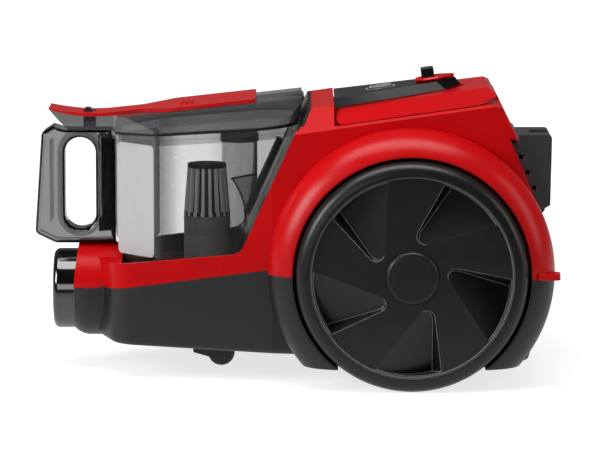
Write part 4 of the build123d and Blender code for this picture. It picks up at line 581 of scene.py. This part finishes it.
def slot_loop(offset, steps):
    """Outline of the hand slot in the bin handle, moved outwards."""
    middle = (grip_slot_start_x + grip_slot_end_x) / 2
    radius = (grip_slot_end_x - grip_slot_start_x) / 2
    loop = []
    for centre, turn in ((grip_slot_top_z - radius, 0.0), (grip_slot_low_z + radius, pi)):
        for step in range(steps + 1):
            angle = turn + pi * step / steps
            reach = radius + offset
            loop.append((middle + reach * cos(angle), centre + reach * sin(angle)))
    return loop


def tube(inner, outer, low, high):
    """Solid between two values of Y and between two loops of places in the upright plane."""
    count = len(inner)
    across = 2 * count
    corners = [(x, y, z) for y in (low, high) for x, z in inner + outer]
    faces = []
    for index in range(count):
        after = (index + 1) % count
        near = (index, after, count + after, count + index)
        far = tuple(across + corner for corner in near)
        faces.extend((near, tuple(reversed(far))))
        for ring in (0, count):
            start, end = ring + index, ring + after
            faces.append((start, end, across + end, across + start))
    return corners, faces


def make_handle_liner():
    """Inner tube around the hand slot and the stiffening rib beside it, seen through the clear handle."""
    half, tube_inner, tube_outer, steps = 0.0103, 0.0026, 0.0058, 16
    left, right, low, high, cut = -0.1885, -0.1862, 0.113, 0.176, 0.0012
    around = tube(slot_loop(tube_inner, steps), slot_loop(tube_outer, steps), -half, half)
    rib = prism([(left, low), (right, low + cut), (right, high - cut), (left, high)], -half, half)
    liner = thin_clear("liner_clear", 0.1, liner_veil)
    piece("handle_liner", *joined(around, rib), "dust_bin", "smoky_clear", liner)


def make_vane_edge():
    """Dark beaded edge along the curved front and the top of the deflector vane."""
    vane_low, vane_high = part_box("deflector_vane")
    back, proud, steps = 0.0014, 0.0006, 12
    depth = (vane_low.y - proud, vane_high.y + proud)
    (x0, z0), (x1, z1), (x2, z2) = vane_curve
    front = []
    for step in range(steps + 1):
        z = z0 + (z2 - z0) * step / steps
        x = x0 * (z - z1) * (z - z2) / ((z0 - z1) * (z0 - z2))
        x += x1 * (z - z0) * (z - z2) / ((z1 - z0) * (z1 - z2))
        x += x2 * (z - z0) * (z - z1) / ((z2 - z0) * (z2 - z1))
        front.append((x, z))
    loop = front + [(x + back, z) for x, z in reversed(front)]
    top = [vane_curve[0], vane_corner, (vane_corner[0], vane_corner[1] - back), (x0, z0 - back)]
    edge = joined(prism(loop, *depth), prism(top, *depth))
    piece("vane_edge", *edge, "dust_bin", "gloss_black", finishes["gloss_black"])


def make_post():
    """Ribbed black post up the leaning back wall of the bin."""
    low_z, high_z, ribs, wall, sunk = 0.118, 0.176, 14, 0.0026, 0.0008
    valley, crest = 0.0036, 0.0058
    lean = Vector((pillar_slope, 0.0, 1.0)).normalized()
    square = Vector((lean.z, 0.0, -lean.x))
    foot = Vector((pillar_foot_x + (low_z - pillar_foot_z) * pillar_slope - wall, 0.0, low_z))
    length = (high_z - low_z) / lean.z
    outline = [foot - square * sunk, foot + lean * length - square * sunk]
    for rib in reversed(range(ribs)):
        for share, depth in ((0.95, valley), (0.85, crest), (0.25, crest), (0.15, valley)):
            outline.append(foot + lean * (length * (rib + share) / ribs) - square * depth)
    post = prism([(point.x, point.z) for point in outline], -0.013, 0.005)
    piece("bin_post", *post, "dust_bin", "gloss_black", finishes["gloss_black"])


def near_side(node, x, z):
    """Point where a node's near side stands, a hair outside it."""
    start, towards, hair = Vector((x, -0.4, z)), Vector((0.0, 1.0, 0.0)), 0.00006
    hit, place, _, _ = nodes[node].ray_cast(start, towards)
    assert hit
    return place - towards * hair


def make_fill_line():
    """Plain fill line on the near side of the bin."""
    white = plastic("fill_print", print_white, 0.5, fine_grain, 0.00001)
    start, end, level, half, steps = -0.0905, -0.081, 0.1695, 0.0007, 8
    corners = []
    for step in range(steps + 1):
        x = start + (end - start) * step / steps
        corners.append(near_side("bin_body", x, level - half))
        corners.append(near_side("bin_body", x, level + half))
    faces = [(2 * step, 2 * step + 2, 2 * step + 3, 2 * step + 1) for step in range(steps)]
    piece("fill_line", corners, faces, "dust_bin", "pale_panel", white)


make_button_marks()
make_handle_liner()
make_vane_edge()
make_post()
make_fill_line()


# Studio
def light_path(tree, *kinds):
    """One when a ray is of any of the named kinds, otherwise zero."""
    path = tree.nodes.new("ShaderNodeLightPath")
    total = path.outputs[kinds[0]]
    for kind in kinds[1:]:
        total = sums(tree, "MAXIMUM", total, path.outputs[kind])
    return total


def choose(tree, switch, off, on):
    """Mix of two values by a switch between zero and one."""
    node = tree.nodes.new("ShaderNodeMix")
    tree.links.new(switch, node.inputs["Factor"])
    for value, socket in ((off, node.inputs["A"]), (on, node.inputs["B"])):
        if isinstance(value, float):
            socket.default_value = value
        else:
            tree.links.new(value, socket)
    return node.outputs["Result"]


def make_floor():
    """Wide white floor that keeps a soft shadow and melts into the white background; its glow is weaker near
    the part, a painted shade around it.
    """
    size = floor_size
    mesh = bpy.data.meshes.new("floor")
    corners = [(-size, -size, 0), (size, -size, 0), (size, size, 0), (-size, size, 0)]
    mesh.from_pydata(corners, [], [(0, 1, 2, 3)])
    floor = bpy.data.objects.new("floor", mesh)
    bpy.context.scene.collection.objects.link(floor)
    mat, tree, shader, place = surface("floor_white")
    far = tree.nodes.new("ShaderNodeVectorMath")
    far.operation = "LENGTH"
    tree.links.new(place, far.inputs[0])
    # Glow weaker near the part: painted shade, under which the lamps' real shadow also shows
    glow = spread(tree, far.outputs["Value"], *floor_glow_and_shade)
    seen = light_path(tree, "Is Camera Ray", "Is Transmission Ray")
    tree.links.new(choose(tree, seen, 0.0, glow), shader.inputs["Emission Strength"])
    shader.inputs["Emission Color"].default_value = (*pure_white, 1.0)
    shader.inputs["Base Color"].default_value = (*floor_grey, 1.0)
    shader.inputs["Roughness"].default_value = 0.9
    shader.inputs["Specular IOR Level"].default_value = 0.0
    _, y, _ = axes(tree, place)
    mirror = tree.nodes.new("ShaderNodeEmission")
    tree.links.new(spread(tree, y, *floor_mirror), mirror.inputs["Strength"])
    pick = tree.nodes.new("ShaderNodeMixShader")
    tree.links.new(light_path(tree, "Is Glossy Ray"), pick.inputs["Fac"])
    tree.links.new(shader.outputs["BSDF"], pick.inputs[1])
    tree.links.new(mirror.outputs["Emission"], pick.inputs[2])
    tree.links.new(pick.outputs["Shader"], tree.nodes["Material Output"].inputs["Surface"])
    mesh.materials.append(mat)


def make_world():
    """White backdrop for the camera, clear parts and gloss, dark behind the camera, dim for the rest."""
    world = bpy.data.worlds.new("studio")
    bpy.context.scene.world = world
    world.use_nodes = True
    tree = world.node_tree
    back = tree.nodes["Background"]
    back.inputs["Color"].default_value = (*pure_white, 1.0)
    place = tree.nodes.new("ShaderNodeTexCoord")
    _, y, z = axes(tree, place.outputs["Generated"])
    behind = spread(tree, y, *world_behind)
    low = spread(tree, z, *world_low)
    gloss = sums(tree, "MULTIPLY", behind, low)
    level = choose(tree, light_path(tree, "Is Transmission Ray"), world_fill, behind)
    level = choose(tree, light_path(tree, "Is Glossy Ray"), level, gloss)
    level = choose(tree, light_path(tree, "Is Camera Ray"), level, 1.0)
    tree.links.new(level, back.inputs["Strength"])


def softbox(name, place, width, height, power):
    """Rectangular area lamp aimed at the middle of the part."""
    lamp = bpy.data.lights.new(name, "AREA")
    lamp.shape = "RECTANGLE"
    lamp.size = width
    lamp.size_y = height
    lamp.energy = power
    item = bpy.data.objects.new(name, lamp)
    item.location = place
    item.rotation_euler = (lamp_aim - Vector(place)).to_track_quat("-Z", "Y").to_euler()
    bpy.context.scene.collection.objects.link(item)


def make_camera():
    """Camera at the photograph's angle."""
    data = bpy.data.cameras.new("camera")
    data.sensor_width = sensor_width * 1000
    data.lens = camera_lens * 1000
    camera = bpy.data.objects.new("camera", data)
    away = Vector((0.0, -cos(camera_elevation), sin(camera_elevation))) * camera_distance
    camera.location = camera_target + away
    camera.rotation_euler = (-away).to_track_quat("-Z", "Y").to_euler()
    bpy.context.scene.collection.objects.link(camera)
    bpy.context.scene.camera = camera


make_floor()
make_world()
softbox("top_box", (-0.1, -0.35, 1.6), 1.7, 0.8, 20.0)
softbox("left_box", (-1.7, -0.9, 1.0), 0.9, 0.9, 24.0)
softbox("right_box", (1.8, -0.6, 0.8), 0.6, 1.2, 6.0)
softbox("front_box", (-0.7, -2.2, 0.5), 1.0, 0.6, 4.0)
make_camera()
bpy.context.scene.view_settings.view_transform = "Standard"
